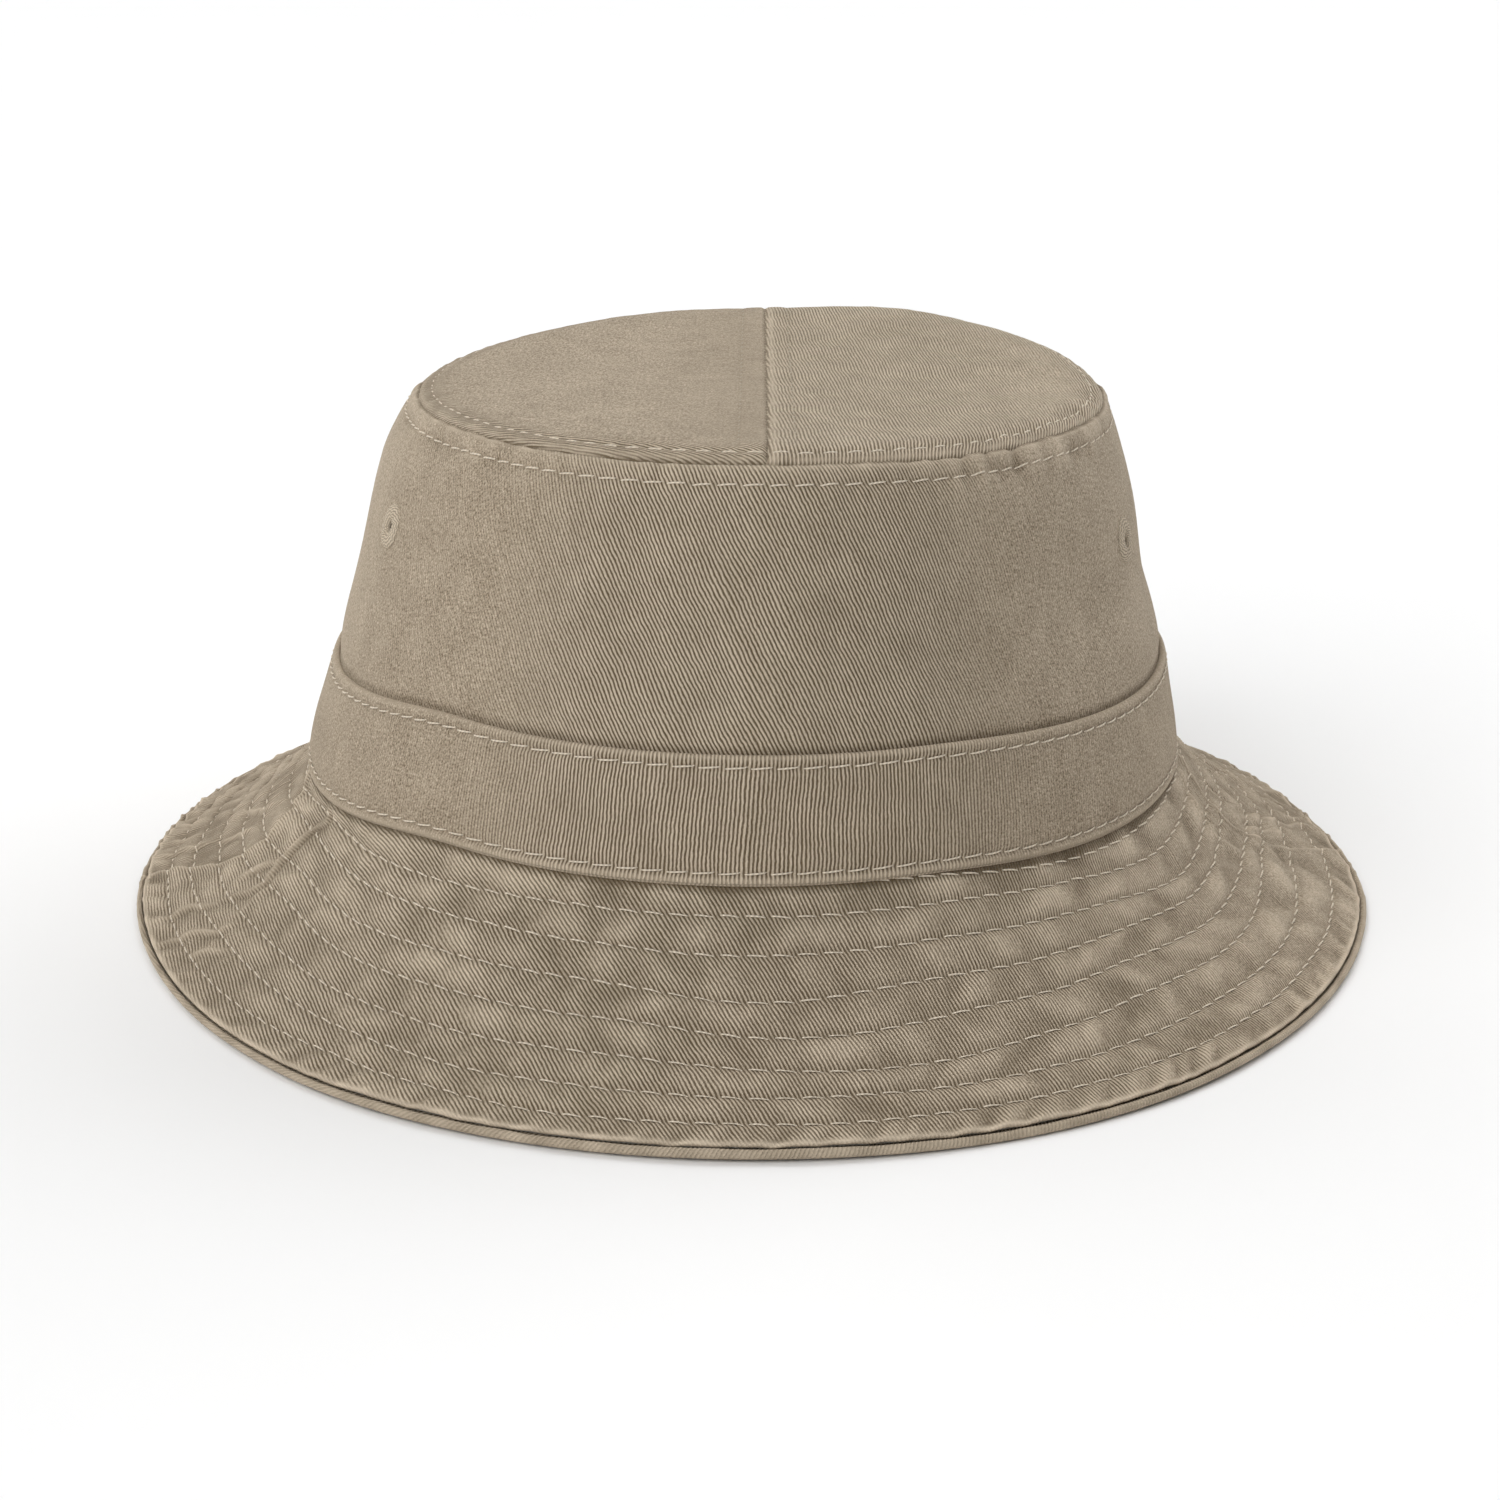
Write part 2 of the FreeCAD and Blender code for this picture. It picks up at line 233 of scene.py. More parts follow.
# How far the sewing wanders on each row: (direction, width, amount).
ROW_WAVES = [
    [(-28, 13, 2.6), (-133, 13, 1.2), (-157, 9, -2.6)],
    [(-88, 16, 0.9), (-28, 9, 3.0), (-134, 10, 0.6), (-158, 13, -3.6)],
    [(-88, 12, 2.4), (-28, 8, 0.7), (-135, 10, 0.4), (-154, 9, -3.2), (-42, 10, -1.0), (-10, 10, -2.8)],
    [(-84, 14, 3.0), (-122, 14, 0.6), (-152, 9, -3.0), (-43, 8, -1.6), (-30, 6, 0.4), (-12, 10, -2.3)],
    [(-78, 18, 3.2), (-121, 14, 1.2), (-150, 10, -1.4), (-43, 8, -1.3), (-10, 12, -4.6)],
    [(-78, 22, 1.5), (-119, 9, 0.9), (-152, 10, -1.8), (-6, 12, -4.2)],
    [(-90, 26, 0.8), (-132, 7, -0.8), (-110, 7, 0.5), (-2, 12, -0.8)],
]
SEAM_RIGHT = [
    (-6, 0), (-7, 5), (-9, 10), (-11, 15), (-10, 21), (-8, 28), (-5, 34), (-2, 41), (2, 49), (3, 52)]
SEAM_LEFT = [
    (-170, 0), (-168, 5), (-165, 10), (-164, 16), (-165, 22), (-166, 28), (-170, 37), (-173, 46), (-174, 52)]
# Folds beside the side seams: line, height and width.  Along them a radian is FOLD_RADIUS long.
FOLD_RADIUS = 118.0
FOLDS = [
    ([(-13, 0), (-12, 3), (-13, 6), (-15, 9), (-15, 14), (-13, 19)], 0.6, 0.8),
    ([(-8, 6), (-5, 11), (-5, 15), (-5, 19), (-2, 24)], 0.55, 0.7),
    ([(-7, 20), (-4, 24), (-1, 28), (2, 35), (3, 39), (6, 45), (6, 50)], 0.55, 0.8),
    ([(-10, 20), (-7, 24), (-5, 28), (-2, 33), (-1, 38)], 0.5, 0.8),
    ([(6, 33), (6, 40), (8, 46), (7, 50)], 0.4, 0.8),
    ([(-22, 16), (-18, 24), (-13, 31), (-9, 37)], 0.35, 1.6),
    ([(-26, 30), (-20, 36), (-13, 42)], 0.3, 1.5),
    ([(-17, 12), (-16, 18), (-14, 25), (-12, 30)], 0.35, 1.3),
    ([(-156, 0), (-156, 4), (-158, 8), (-158, 13), (-158, 18), (-157, 22), (-158, 27), (-160, 33)],
     0.7, 0.75),
    ([(-158, 18), (-160, 20), (-161, 24), (-161, 28)], 0.5, 0.65),
    ([(-170, 11), (-172, 17), (-175, 22), (-178, 26), (-176, 30)], 0.5, 0.65),
    ([(-169, 20), (-172, 26), (-173, 32)], 0.5, 0.65),
    ([(-174, 30), (-175, 37), (-176, 44), (-177, 50)], 0.6, 0.7),
    ([(-179, 36), (-179, 42), (-180, 50)], 0.45, 0.7),
    ([(-183, 38), (-183, 44), (-184, 50)], 0.45, 0.7),
    ([(-159, 32), (-162, 39), (-162, 47)], 0.45, 0.7),
    ([(-154, 31), (-155, 36), (-157, 41), (-158, 49)], 0.5, 0.8),
    ([(-151, 36), (-154, 44)], 0.4, 0.8),
    ([(-156, 20), (-156, 27), (-155, 35)], 0.35, 1.5),
]


def seam_row(theta):
    """The row right beside the head seam, which shows only at the right of the front."""
    return -0.9 + 2.95 * facing(theta, -36, 32) + 0.1 * ring_noise(theta, 20, 0.5, 14)


def brim_row(i, theta):
    """How far out row i of the quilting lies, in each direction."""
    s = ROWS[i] + 0.35 * ring_noise(theta, 26, i * 7.3, 11)
    s = s + 0.12 * ring_noise(theta, 95, i * 3.1, 12)
    for degrees, width, amount in ROW_WAVES[i]:
        s = s + amount * facing(theta, degrees, width)
    return s


def seam_line(points):
    """Direction of a brim seam at any distance s, its corners rounded."""
    angles = np.radians([p[0] for p in points])
    places = [p[1] for p in points]
    return lambda s: sum(np.interp(s + k, places, angles) for k in (-4, -2, 0, 2, 4)) / 5


BRIM_RIGHT, BRIM_LEFT = seam_line(SEAM_RIGHT), seam_line(SEAM_LEFT)


def seam_gap(theta, s, line):
    """Distance across a brim seam, positive on its anticlockwise side."""
    radius = SIDE_RADIUS + 0.75 * s
    slope = radius * (line(s + 0.5) - line(s - 0.5))
    return np.angle(np.exp(1j * (theta - line(s)))) * radius / np.sqrt(1 + slope ** 2)


def near_seams(theta):
    """How puckered the brim is in each direction: most beside the side seams."""
    return np.maximum.reduce([facing(theta, -22, 32), facing(theta, -164, 25), 0.8 * facing(theta, 15, 36),
                              0.8 * facing(theta, 165, 36), 0.35 + 0 * theta])


def brim_shape(theta, s):
    """Broad unevenness that all plies of the brim share, how worn its folds are, and the painted shade beside
    its folds, gathers and seams.
    """
    out = np.clip(s / BRIM_EDGE, 0, 1)
    rise = 0.55 * out * ring_noise(theta, 11, s / 40, 3)
    rise = rise + 0.30 * ring_noise(theta, 31, s / 17, 4) * np.sin(np.pi * np.clip(out, 0.05, 1))
    foot = bump(s, 6, 6) * step(s, -1, 2)
    rise = rise + foot * (1.1 * facing(theta, 28, 18) - 1.4 * facing(theta, 150, 35))
    ridges = gathers(theta, s)
    rise = rise + 0.6 * ridges
    wear = 0.85 * ridges ** 1.2
    # Painted shade in the hollows between the gathered ridges.
    painted_crease_shade = 0.55 * gathered(theta) * step(s, 1, 12) * (1 - ridges)
    fade = step(s, -1, 3)
    for line, height, width in FOLDS:
        far, side, along = crease(theta, s, line, FOLD_RADIUS)
        taper = np.sqrt(np.clip(4 * along * (1 - along), 0, 1))
        ridge = np.exp(-(far / width) ** 1.6) * taper
        dip = bump(far * side, 2.0 * width, 1.3 * width) * taper
        rise = rise + fade * height * (ridge - 0.7 * dip)
        pale = min(1.0, height + 0.5) * min(1.0, 1.1 / width)
        wear = np.maximum(wear, bump(far, 0, 0.95) * taper * pale)
        # Painted shade beside the fold.
        painted_crease_shade = np.maximum(painted_crease_shade, 1.5 * height * dip * fade)
    uneven = 0.8 + 0.5 * noise(s / 5, 0 * s + 2.5, 18)
    for line, turn in ((BRIM_RIGHT, 1), (BRIM_LEFT, -1)):
        gap = seam_gap(theta, s, line) * turn
        ridge = np.exp(-np.abs((gap + 1.0) / 1.0) ** 2.4) * uneven
        allowance = step(gap, -5.5, -4.2) * step(-gap, -0.3, 0.5)
        seam = 0.55 * ridge + 0.28 * allowance - 0.35 * bump(gap, 0.1, 0.45) - 0.3 * bump(gap, 2.2, 1.6)
        rise = rise + fade * (1 - 0.85 * step(s, 45.5, 49.2)) * seam
        wear = np.maximum(wear, bump(gap, -0.9, 0.95) * uneven)
        # Painted shade in and beside the seam.
        painted_crease_shade = np.maximum(painted_crease_shade, np.maximum(1.5 * bump(gap, 0.5, 0.5), 0.9 * bump(gap, 2.2, 1.2)) * fade)
    return rise, wear, painted_crease_shade


def gathered(theta):
    """Where the side seams gather the brim into sharp ridges."""
    return np.maximum.reduce([facing(theta, -186, 15), facing(theta, 14, 20), 0.45 * facing(theta, -20, 12),
                              0.25 * step(np.sin(theta), 0.0, 0.4)])


def gathers(theta, s):
    """Sharp ridges that the side seams draw up in the brim beside and behind them, 0 to 1."""
    lines = ring_noise(theta, 128, s / 30, 23, 0.016 * s)
    return gathered(theta) * np.clip(1 - 3.2 * np.abs(lines), 0, 1) ** 1.3 * step(s, 1, 12)


def brim_quilting(theta, s, seed):
    """How far a face rises between its rows and sinks at them, and the puckers alone."""
    rows = [brim_row(i, theta) for i in range(len(ROWS))]
    bounds = [rows[0] * 0 - 1.0] + rows + [rows[0] * 0 + BRIM_EDGE + 0.1]
    seams = near_seams(theta)
    lively = 0.75 + 0.35 * ring_noise(theta, 9, s / 25, seed + 1) + 0.35 * facing(theta, -40, 25)
    shared = ring_noise(theta, 78, s / 21, seed + 6, 0.02 * s)
    rise = np.zeros(np.shape(theta * s))
    for i, (low, high) in enumerate(zip(bounds, bounds[1:])):
        t = (s - low) / (high - low)
        inside = (t >= 0) & (t < 1)
        t = np.clip(t, 0, 1)
        skew = 0.9 if i % 2 else -0.7
        broad = ring_noise(theta, 54, i * 0.8 + 0.7 * t, seed + 2, 0.5 * skew * t)
        close = ring_noise(theta, 124, i * 2.7 + 0.6 * t, seed + 3, skew * t)
        fine = ring_noise(theta, 216, i * 3.9 + 0.7 * t, seed + 4, 1.4 * skew * t)
        puff = np.sin(np.pi * t) ** 0.7
        outward = i / len(ROWS)
        swell = (0.5 * broad + 0.62 * seams * shared + (0.06 + (0.30 + 0.42 * outward) * seams) * close
                 + (0.03 + 0.42 * outward * seams) * fine)
        if i == len(bounds) - 2:
            puff = np.sqrt(np.clip(t * 1.15, 0, 1)) * (1 - step(t, 0.93, 1.0) * 0.4)
            swell = 0.25 * broad + (0.25 + 0.35 * seams) * close + (0.25 + 0.65 * seams) * fine
        rise = np.where(inside, puff * np.maximum(0.20 + lively * swell, -0.75), rise)
    pull = np.zeros(np.shape(rise))
    for row in rows:
        pull = np.maximum(pull, bump(s, row, 0.75))
    return rise - 0.32 * pull, rise


def brim_reach(theta, s):
    """How much further out the worn brim reaches in some directions."""
    reach = 0.9 * facing(theta, -128, 20) + 0.4 * facing(theta, -38, 18) + 0.8 * facing(theta, -7, 9)
    return np.clip(s / BRIM_EDGE, 0, 1.1) * reach


def brim_place(theta, s, n):
    """Where direction, distance and full height above the brim's section bring a point."""
    d, z = brim_section(s, n)
    x, y = outline(theta, d + brim_reach(theta, s))
    return settle(x, y, z)


# Which puckers the upper and the under face have.
PUCKER_SEEDS = (21, 51)


def brim_point(theta, s, n, top, under):
    """Where a point of the brim is; top and under say how far it follows each face's puckers."""
    upper, lower = (brim_quilting(theta, s, seed)[0] for seed in PUCKER_SEEDS)
    return brim_place(theta, s, n + brim_shape(theta, s)[0] + top * upper - under * lower)


# ---------------------------------------------------------------- the crown's relief

# Rows of topstitching: up the wall, in from the top's edge, and beside the top's seam.
CROWN_STITCH, TIP_STITCH, TIP_SEAM_ROW = CROWN_TOP - 3.9, 3.0, 5.0


def side_gap(theta):
    """Distance round the wall from the nearer side seam."""
    return np.abs(np.angle(np.exp(2j * theta))) / 2 * 119


def crown_pucker(theta, s):
    """Gathers that the seam round the top makes in the wall below it."""
    pucker = ring_noise(theta, 92, s / 9, 34) + 0.7 * ring_noise(theta, 170, s / 6, 35)
    front = 0.55 * facing(theta, -40, 22) + 0.25 * facing(theta, -150, 16)
    force = 0.13 + front + 0.15 * facing(theta, 90, 60)
    return force * pucker * step(s, 63, 68.5) * (1 - 0.3 * step(s, 70, 72))


def crown_shape(theta, s):
    """Soft dents and fullness of the wall, and the pull of its seams."""
    rise = 0.75 * ring_noise(theta, 8, s / 38, 31) + 0.22 * ring_noise(theta, 26, s / 15, 32)
    rise = rise * step(s, 2, 26)
    rise = rise + 0.8 * bump(s, 29, 7) * (0.6 + 0.4 * ring_noise(theta, 7, 0.3, 33))
    rise = rise - 0.35 * bump(s, 22.6, 1.6)
    rise = rise - 1.5 * facing(theta, -33, 9) * bump(s, 42, 9) + 0.8 * facing(theta, -24, 7) * bump(s, 36, 8)
    rise = rise - 0.7 * facing(theta, -150, 9) * bump(s, 50, 9)
    seam = side_gap(theta)
    rise = rise + (0.35 * np.exp(-(seam / 4.2) ** 4) - 0.6 * bump(seam, 0, 0.55)) * step(s, 23, 26)
    rise = rise - 0.22 * bump(s, CROWN_STITCH, 0.7)
    rise = rise + 0.20 * bump(s, CROWN_TOP - 1.6, 1.1) - 0.30 * bump(s, CROWN_TOP + 0.2, 0.4)
    return rise + crown_pucker(theta, s)


def crown_point(theta, s, n, outer=1.0):
    """Where a point of the wall is; outer is how far it follows the wall's relief."""
    d, z = crown_section(s, n - crown_shape(theta, s) * outer)
    x, y = outline(theta, d)
    return settle(x, y, z)


TIP_D, TIP_Z = (float(v) for v in crown_section(CROWN_TOP, 0.0))


def tip_seam_inset(y):
    """How far in from its edge the middle seam of the top is, at y."""
    return np.minimum(HALF_LENGTH + TIP_D - np.abs(y), 77)


def tip_pucker(x, y, inset):
    """Gathers that the crown seam makes in the margin of the top."""
    angle = np.arctan2(y, x)
    pucker = ring_noise(angle, 90, inset / 8, 44) + 0.6 * ring_noise(angle, 170, inset / 5, 45)
    force = 0.10 + 0.55 * facing(angle, -32, 24) + 0.2 * facing(angle, 180, 40)
    return force * pucker * (1 - step(inset, 2.5, 9))


def tip_height(x, y, inset):
    """Height of the top cloth's face above the crown seam."""
    full = step(inset, 2, 34)
    rise = 3.0 * (1 - np.exp(-inset / 3.0)) - 0.3
    rise = rise + 0.7 * full * noise(x / 41 + 3, y / 52, 41) + 0.16 * full * noise(x / 13, y / 17, 42)
    seam = np.abs(x)
    rise = rise + 0.18 * np.exp(-(seam / 4.8) ** 6) - 0.38 * bump(seam, 0, 0.5)
    cross = noise(y / 5.2, np.sign(x) * 4, 43) * bump(seam, 2.6, 1.9)
    rise = rise + 0.16 * cross - 0.10 * bump(seam, TIP_SEAM_ROW, 0.6)
    rise = rise + tip_pucker(x, y, inset) - 0.2 * bump(inset, TIP_STITCH, 0.6)
    return rise + 0.16 * bump(inset, 1.4, 0.9) - 0.35 * (1 - step(inset, 0, 0.4))


def tip_point(x, y, inset, n):
    return settle(x, y, TIP_Z + tip_height(x, y, inset) + n)


# ---------------------------------------------------------------- meshes

class Mesh:
    """Vertices and faces gathered as arrays and written out as one object."""

    def __init__(self):
        self.verts, self.quads, self.quad_uvs, self.caps = [], [], [], []
        self.layers = {}
        self.count = 0

    def add_grid(self, points, uv, layers, wrap_u=False, wrap_v=False, holes=()):
        """A grid of shape (nu, nv, 3); uv has one more row or column where it wraps."""
        nu, nv = points.shape[:2]
        iu, iv = np.arange(nu if wrap_u else nu - 1), np.arange(nv if wrap_v else nv - 1)
        a, b = (k.reshape(-1) for k in np.meshgrid(iu, iv, indexing="ij"))
        for i, j in holes:
            keep = (a != i) | (b != j)
            a, b = a[keep], b[keep]
        a1, b1 = (a + 1) % nu, (b + 1) % nv
        faces = np.stack([a * nv + b, a1 * nv + b, a1 * nv + b1, a * nv + b1], -1)
        corners = [uv[a, b], uv[a + 1, b], uv[a + 1, b + 1], uv[a, b + 1]]
        self.add_quads(faces + self.count, np.stack(corners, 1))
        self.verts.append(points.reshape(-1, 3))
        for name, values in layers.items():
            self.layers.setdefault(name, []).append(np.broadcast_to(values, (nu, nv)).reshape(-1))
        self.count += nu * nv

    def add_strip(self, points, uv, layers):
        """A grid whose sections are closed loops, capped at its two ends."""
        uv = closed_uv(uv)
        self.add_grid(points, uv, layers, wrap_v=True)
        self.close_ends(*points.shape[:2], uv)

    def close_ends(self, nu, nv, uv):
        """Caps both ends of the grid added last, where its sections are closed loops."""
        first = self.count - nu * nv
        self.add_cap(first + np.arange(nv), uv[0, 0])
        self.add_cap(first + (nu - 1) * nv + np.arange(nv)[::-1], uv[nu - 1, 0])

    def add_quads(self, faces, uv):
        self.quads.append(faces)
        self.quad_uvs.append(uv)

    def add_cap(self, indices, uv):
        self.caps.append((indices, np.broadcast_to(uv, (len(indices), 2))))

    def join(self, other):
        """Takes in another mesh; neither has layers."""
        self.verts += other.verts
        self.quads += [faces + self.count for faces in other.quads]
        self.quad_uvs += other.quad_uvs
        self.caps += [(indices + self.count, uv) for indices, uv in other.caps]
        self.count += other.count

    def build(self, name, material, flip=False):
        """The object, in metres, its faces turned over where flip is true."""
        verts = np.concatenate(self.verts) * MM
        quads = np.concatenate(self.quads)
        turn = -1 if flip else 1
        loops = [quads[:, ::turn].reshape(-1)] + [c[0][::turn] for c in self.caps]
        uvs = [np.concatenate(self.quad_uvs)[:, ::turn].reshape(-1, 2)] + [c[1][::turn] for c in self.caps]
        sizes = np.array([4] * len(quads) + [len(c[0]) for c in self.caps])
        starts = np.concatenate([[0], np.cumsum(sizes)[:-1]])
        loops = np.concatenate(loops)
        mesh = bpy.data.meshes.new(name)
        mesh.vertices.add(len(verts))
        mesh.vertices.foreach_set("co", verts.astype(np.float32).ravel())
        mesh.loops.add(len(loops))
        mesh.loops.foreach_set("vertex_index", loops.astype(np.int32))
        mesh.polygons.add(len(sizes))
        mesh.polygons.foreach_set("loop_start", starts.astype(np.int32))
        layer = mesh.uv_layers.new(name="cloth")
        layer.data.foreach_set("uv", np.concatenate(uvs).astype(np.float32).ravel())
        for key, parts in self.layers.items():
            attribute = mesh.attributes.new(key, "FLOAT", "POINT")
            attribute.data.foreach_set("value", np.concatenate(parts).astype(np.float32))
        mesh.update(calc_edges=True)
        mesh.polygons.foreach_set("use_smooth", np.ones(len(sizes), bool))
        mesh.materials.append(material)
        obj = bpy.data.objects.new(name, mesh)
        bpy.context.scene.collection.objects.link(obj)
        return obj


def unit(vectors):
    return vectors / np.linalg.norm(vectors, axis=-1, keepdims=True)


# ---------------------------------------------------------------- materials


class Value:
    """A number that a material's nodes work out, so that formulas read as arithmetic."""

    def __init__(self, shader, socket):
        self.shader, self.socket = shader, socket

    def __add__(self, other):
        return self.shader.math("ADD", self, other)

    def __sub__(self, other):
        return self.shader.math("SUBTRACT", self, other)

    def __rsub__(self, other):
        return self.shader.math("SUBTRACT", other, self)

    def __mul__(self, other):
        return self.shader.math("MULTIPLY", self, other)

    __radd__, __rmul__ = __add__, __mul__


class Shader:
    """Short ways to write a material's nodes."""

    def __init__(self, name):
        self.material = bpy.data.materials.new(name)
        self.material.use_nodes = True
        self.tree = self.material.node_tree
        self.tree.nodes.clear()

    def node(self, kind, settings=None, **inputs):
        made = self.tree.nodes.new(kind)
        for key, value in (settings or {}).items():
            setattr(made, key, value)
        for key, value in inputs.items():
            self.put(made.inputs[key.replace("_", " ")], value)
        return made

    def put(self, socket, value):
        """Sets a socket to a number or colour, or links it to what works it out."""
        value = getattr(value, "socket", value)
        if isinstance(value, bpy.types.NodeSocket):
            self.tree.links.new(value, socket)
        else:
            socket.default_value = value

    def math(self, operation, *values):
        made = self.node("ShaderNodeMath", {"operation": operation})
        for socket, value in zip(made.inputs, values):
            self.put(socket, value)
        return Value(self, made.outputs[0])

    def between(self, value, low, high):
        return self.math("MINIMUM", self.math("MAXIMUM", value, low), high)

    def wave(self, value):
        """Up and down between 0 and 1, highest at whole numbers."""
        return 0.5 * self.math("COSINE", TAU * value) + 0.5

    def ramp(self, value, low, high, to_low=0.0, to_high=1.0):
        """A smooth step from to_low, where value is low, to to_high."""
        made = self.node("ShaderNodeMapRange", {"interpolation_type": "SMOOTHSTEP"})
        for socket, number in zip(made.inputs[:5], (value, low, high, to_low, to_high)):
            self.put(socket, number)
        return Value(self, made.outputs[0])

    def layer(self, name):
        made = self.node("ShaderNodeAttribute", {"attribute_type": "GEOMETRY", "attribute_name": name})
        return Value(self, made.outputs["Fac"])

    def plane(self, vector):
        """The first two numbers of a vector."""
        parts = self.node("ShaderNodeSeparateXYZ", Vector=vector)
        return Value(self, parts.outputs[0]), Value(self, parts.outputs[1])

    def uv(self):
        return self.plane(self.node("ShaderNodeUVMap", {"uv_map": "cloth"}).outputs[0])

    def noise(self, x, y, detail=1.0, rough=0.5):
        """Soft noise from about -1 to 1 with cells one unit across."""
        place = self.node("ShaderNodeCombineXYZ", X=x, Y=y)
        made = self.node("ShaderNodeTexNoise", {"noise_dimensions": "2D"}, Vector=place.outputs[0],
                         Scale=1.0, Detail=detail, Roughness=rough)
        return 3.2 * Value(self, made.outputs["Fac"]) - 1.6

    def mix(self, factor, a, b):
        """Colour from a to b."""
        made = self.node("ShaderNodeMix", {"data_type": "RGBA"})
        for index, value in ((0, factor), (6, a), (7, b)):
            self.put(made.inputs[index], value)
        return made.outputs[2]

    def shade(self, colour, amount):
        """Colour times a number."""
        made = self.node("ShaderNodeVectorMath", {"operation": "SCALE"}, Scale=amount)
        self.put(made.inputs[0], colour)
        return made.outputs[0]

    def show(self, shader):
        self.node("ShaderNodeOutputMaterial", Surface=shader.outputs[0])
        return self.material

    def cloth(self, colour, roughness, height, depth, sheen=0.28):
        """Ends the material as a cloth whose relief is height times depth."""
        relief = self.node("ShaderNodeBump", Strength=1.0, Distance=depth, Height=height)
        return self.show(self.node(
            "ShaderNodeBsdfPrincipled", Base_Color=colour, Roughness=roughness, Normal=relief.outputs[0],
            Sheen_Weight=sheen, Sheen_Roughness=0.45, Sheen_Tint=(1.0, 0.88, 0.72, 1),
            Specular_IOR_Level=0.18))


# Cloth colours at the two ends of the tone: the darkest, between the ribs and in painted shade, and the
# palest, on ribs and folds that wear has paled and in painted light.
DEEP = (0.132, 0.095, 0.054, 1)
PALE = (0.680, 0.570, 0.436, 1)


def twill(name, slant=61.0, pitch=0.785, nap=None):
    """Washed twill: slanting ribs of yarn, paler where wear has rubbed it, with painted light on its crests
    and painted shade in its hollows.

    nap names two layers that the loose fibres follow in place of the cloth's own coordinates.
    """
    sh = Shader(name)
    x, y = sh.uv()
    lean = math.radians(slant)
    drift = 0.45 * sh.noise(0.07 * x, 0.07 * y) + 0.15 * sh.noise(0.5 * x, 0.5 * y, 2.0, 0.6)
    across = x * (1 / pitch) + y * (1 / (math.tan(lean) * pitch)) + drift
    along = x * math.cos(lean) - y * math.sin(lean)
    rib = sh.ramp(sh.wave(across), 0.10, 0.74)
    number = sh.math("ROUND", across)
    floats = sh.wave(0.37 * number + 1.55 * along)
    streak = sh.noise(0.83 * number, 0.16 * along, 2.0, 0.6)
    nap_x, nap_y = (sh.layer(name) for name in nap) if nap else (x, y)
    grain = sh.noise(2.6 * nap_x, 2.6 * nap_y, 2.0, 0.7)
    speck = sh.noise(1.3 * nap_x, 1.3 * nap_y, 2.0, 0.75)
    blotch = sh.noise(0.14 * x, 0.14 * y, 2.0, 0.55)
    cloud = sh.noise(0.03 * x, 0.03 * y)
    fuzz, relief, worn, off, phase = (sh.layer(name) for name in ("fuzz", "relief", "wear", "row", "phase"))

    # Ribs are clear in the hollows, and hidden where fibres stand loose.
    clear = sh.between(1.14 - 0.30 * relief - 1.15 * fuzz, 0.05, 1.35)
    shown = (rib - 0.55) * clear + 0.55
    # Tone: darker between the ribs, partly the yarn's own tone and partly painted shade; the relief layer
    # adds painted shade and light, and random blotches vary it.
    painted_shade_and_blotch = 0.39 * relief + 0.13 * blotch + 0.05 * cloud + 0.57
    tone = shown * (0.66 * painted_shade_and_blotch + 0.30) + 0.10 * painted_shade_and_blotch + 0.07 * streak
    tone = tone + grain * (0.24 * fuzz + 0.08) + speck * (0.26 * fuzz + 0.05)
    tone = sh.math("MAXIMUM", tone, worn * (0.16 * shown + 0.12 * grain + 0.84))

    # Each row of stitching sinks into the cloth; painted shade darkens the line it lies in, most at the
    # needle's holes.
    needle = sh.math("ABSOLUTE", sh.math("FRACT", phase) - 0.5)
    hole = sh.ramp(off, 0.15, 0.6, 1.0, 0.0) * sh.ramp(needle, 0.42, 0.49)
    groove_shade = sh.ramp(off, 0.1, 1.1, 0.10, 0.0)
    tone = sh.between(tone * (1.0 - groove_shade - 0.15 * hole), -0.05, 1.15)

    height = (0.75 * shown + 0.20 * floats * shown) * (1.0 - 0.75 * worn) + 0.16 * streak + 0.14 * grain
    return sh.cloth(sh.mix(tone, DEEP, PALE), sh.ramp(grain, -1, 1, 0.84, 0.96), height, 0.00018)


def sewing_thread(name, colour, ply=0.28):
    """Two-ply thread, its twist running round it; ply is how much paler the twist is than its gaps."""
    sh = Shader(name)
    x, y = sh.uv()
    twist = sh.wave(1.25 * x + y)
    fibre = sh.noise(1.1 * x, 6.0 * y, 2.0, 0.7)
    tone = 0.07 * fibre + ply * twist + (0.98 - ply / 2)
    rough = sh.ramp(fibre, -1, 1, 0.6, 0.75)
    return sh.cloth(sh.shade(colour, tone), rough, 0.2 * fibre + twist, 0.00006, 0.05)


def plain_weave(name, colour, pitch, sheen):
    """Over and under yarns of one size."""
    sh = Shader(name)
    x, y = sh.uv()
    warp, weft = (sh.math("SINE", way * (math.pi / pitch)) for way in (x, y))
    weave = 0.5 * warp * weft + 0.5
    grain = sh.noise(2.2 * x, 2.2 * y, 2.0, 0.65)
    tone = 0.04 * sh.noise(0.09 * x, 0.09 * y) + 0.06 * grain + 0.22 * weave + 0.88
    rough = sh.ramp(grain, -1, 1, 0.75, 0.9)
    return sh.cloth(sh.shade(colour, tone), rough, 0.2 * grain + weave, 0.00008, sheen)


def satin(name, colour):
    """Smooth ribbon with very fine cross ribs."""
    sh = Shader(name)
    x, y = sh.uv()
    rib = 0.5 * sh.math("SINE", y * (TAU / 0.3)) + 0.5
    streak = sh.noise(0.35 * x, 5.0 * y, 2.0, 0.6)
    tone = 0.05 * streak + 0.08 * rib + 0.95
    return sh.cloth(sh.shade(colour, tone), sh.ramp(streak, -1, 1, 0.32, 0.5), rib, 0.00003, 0.1)


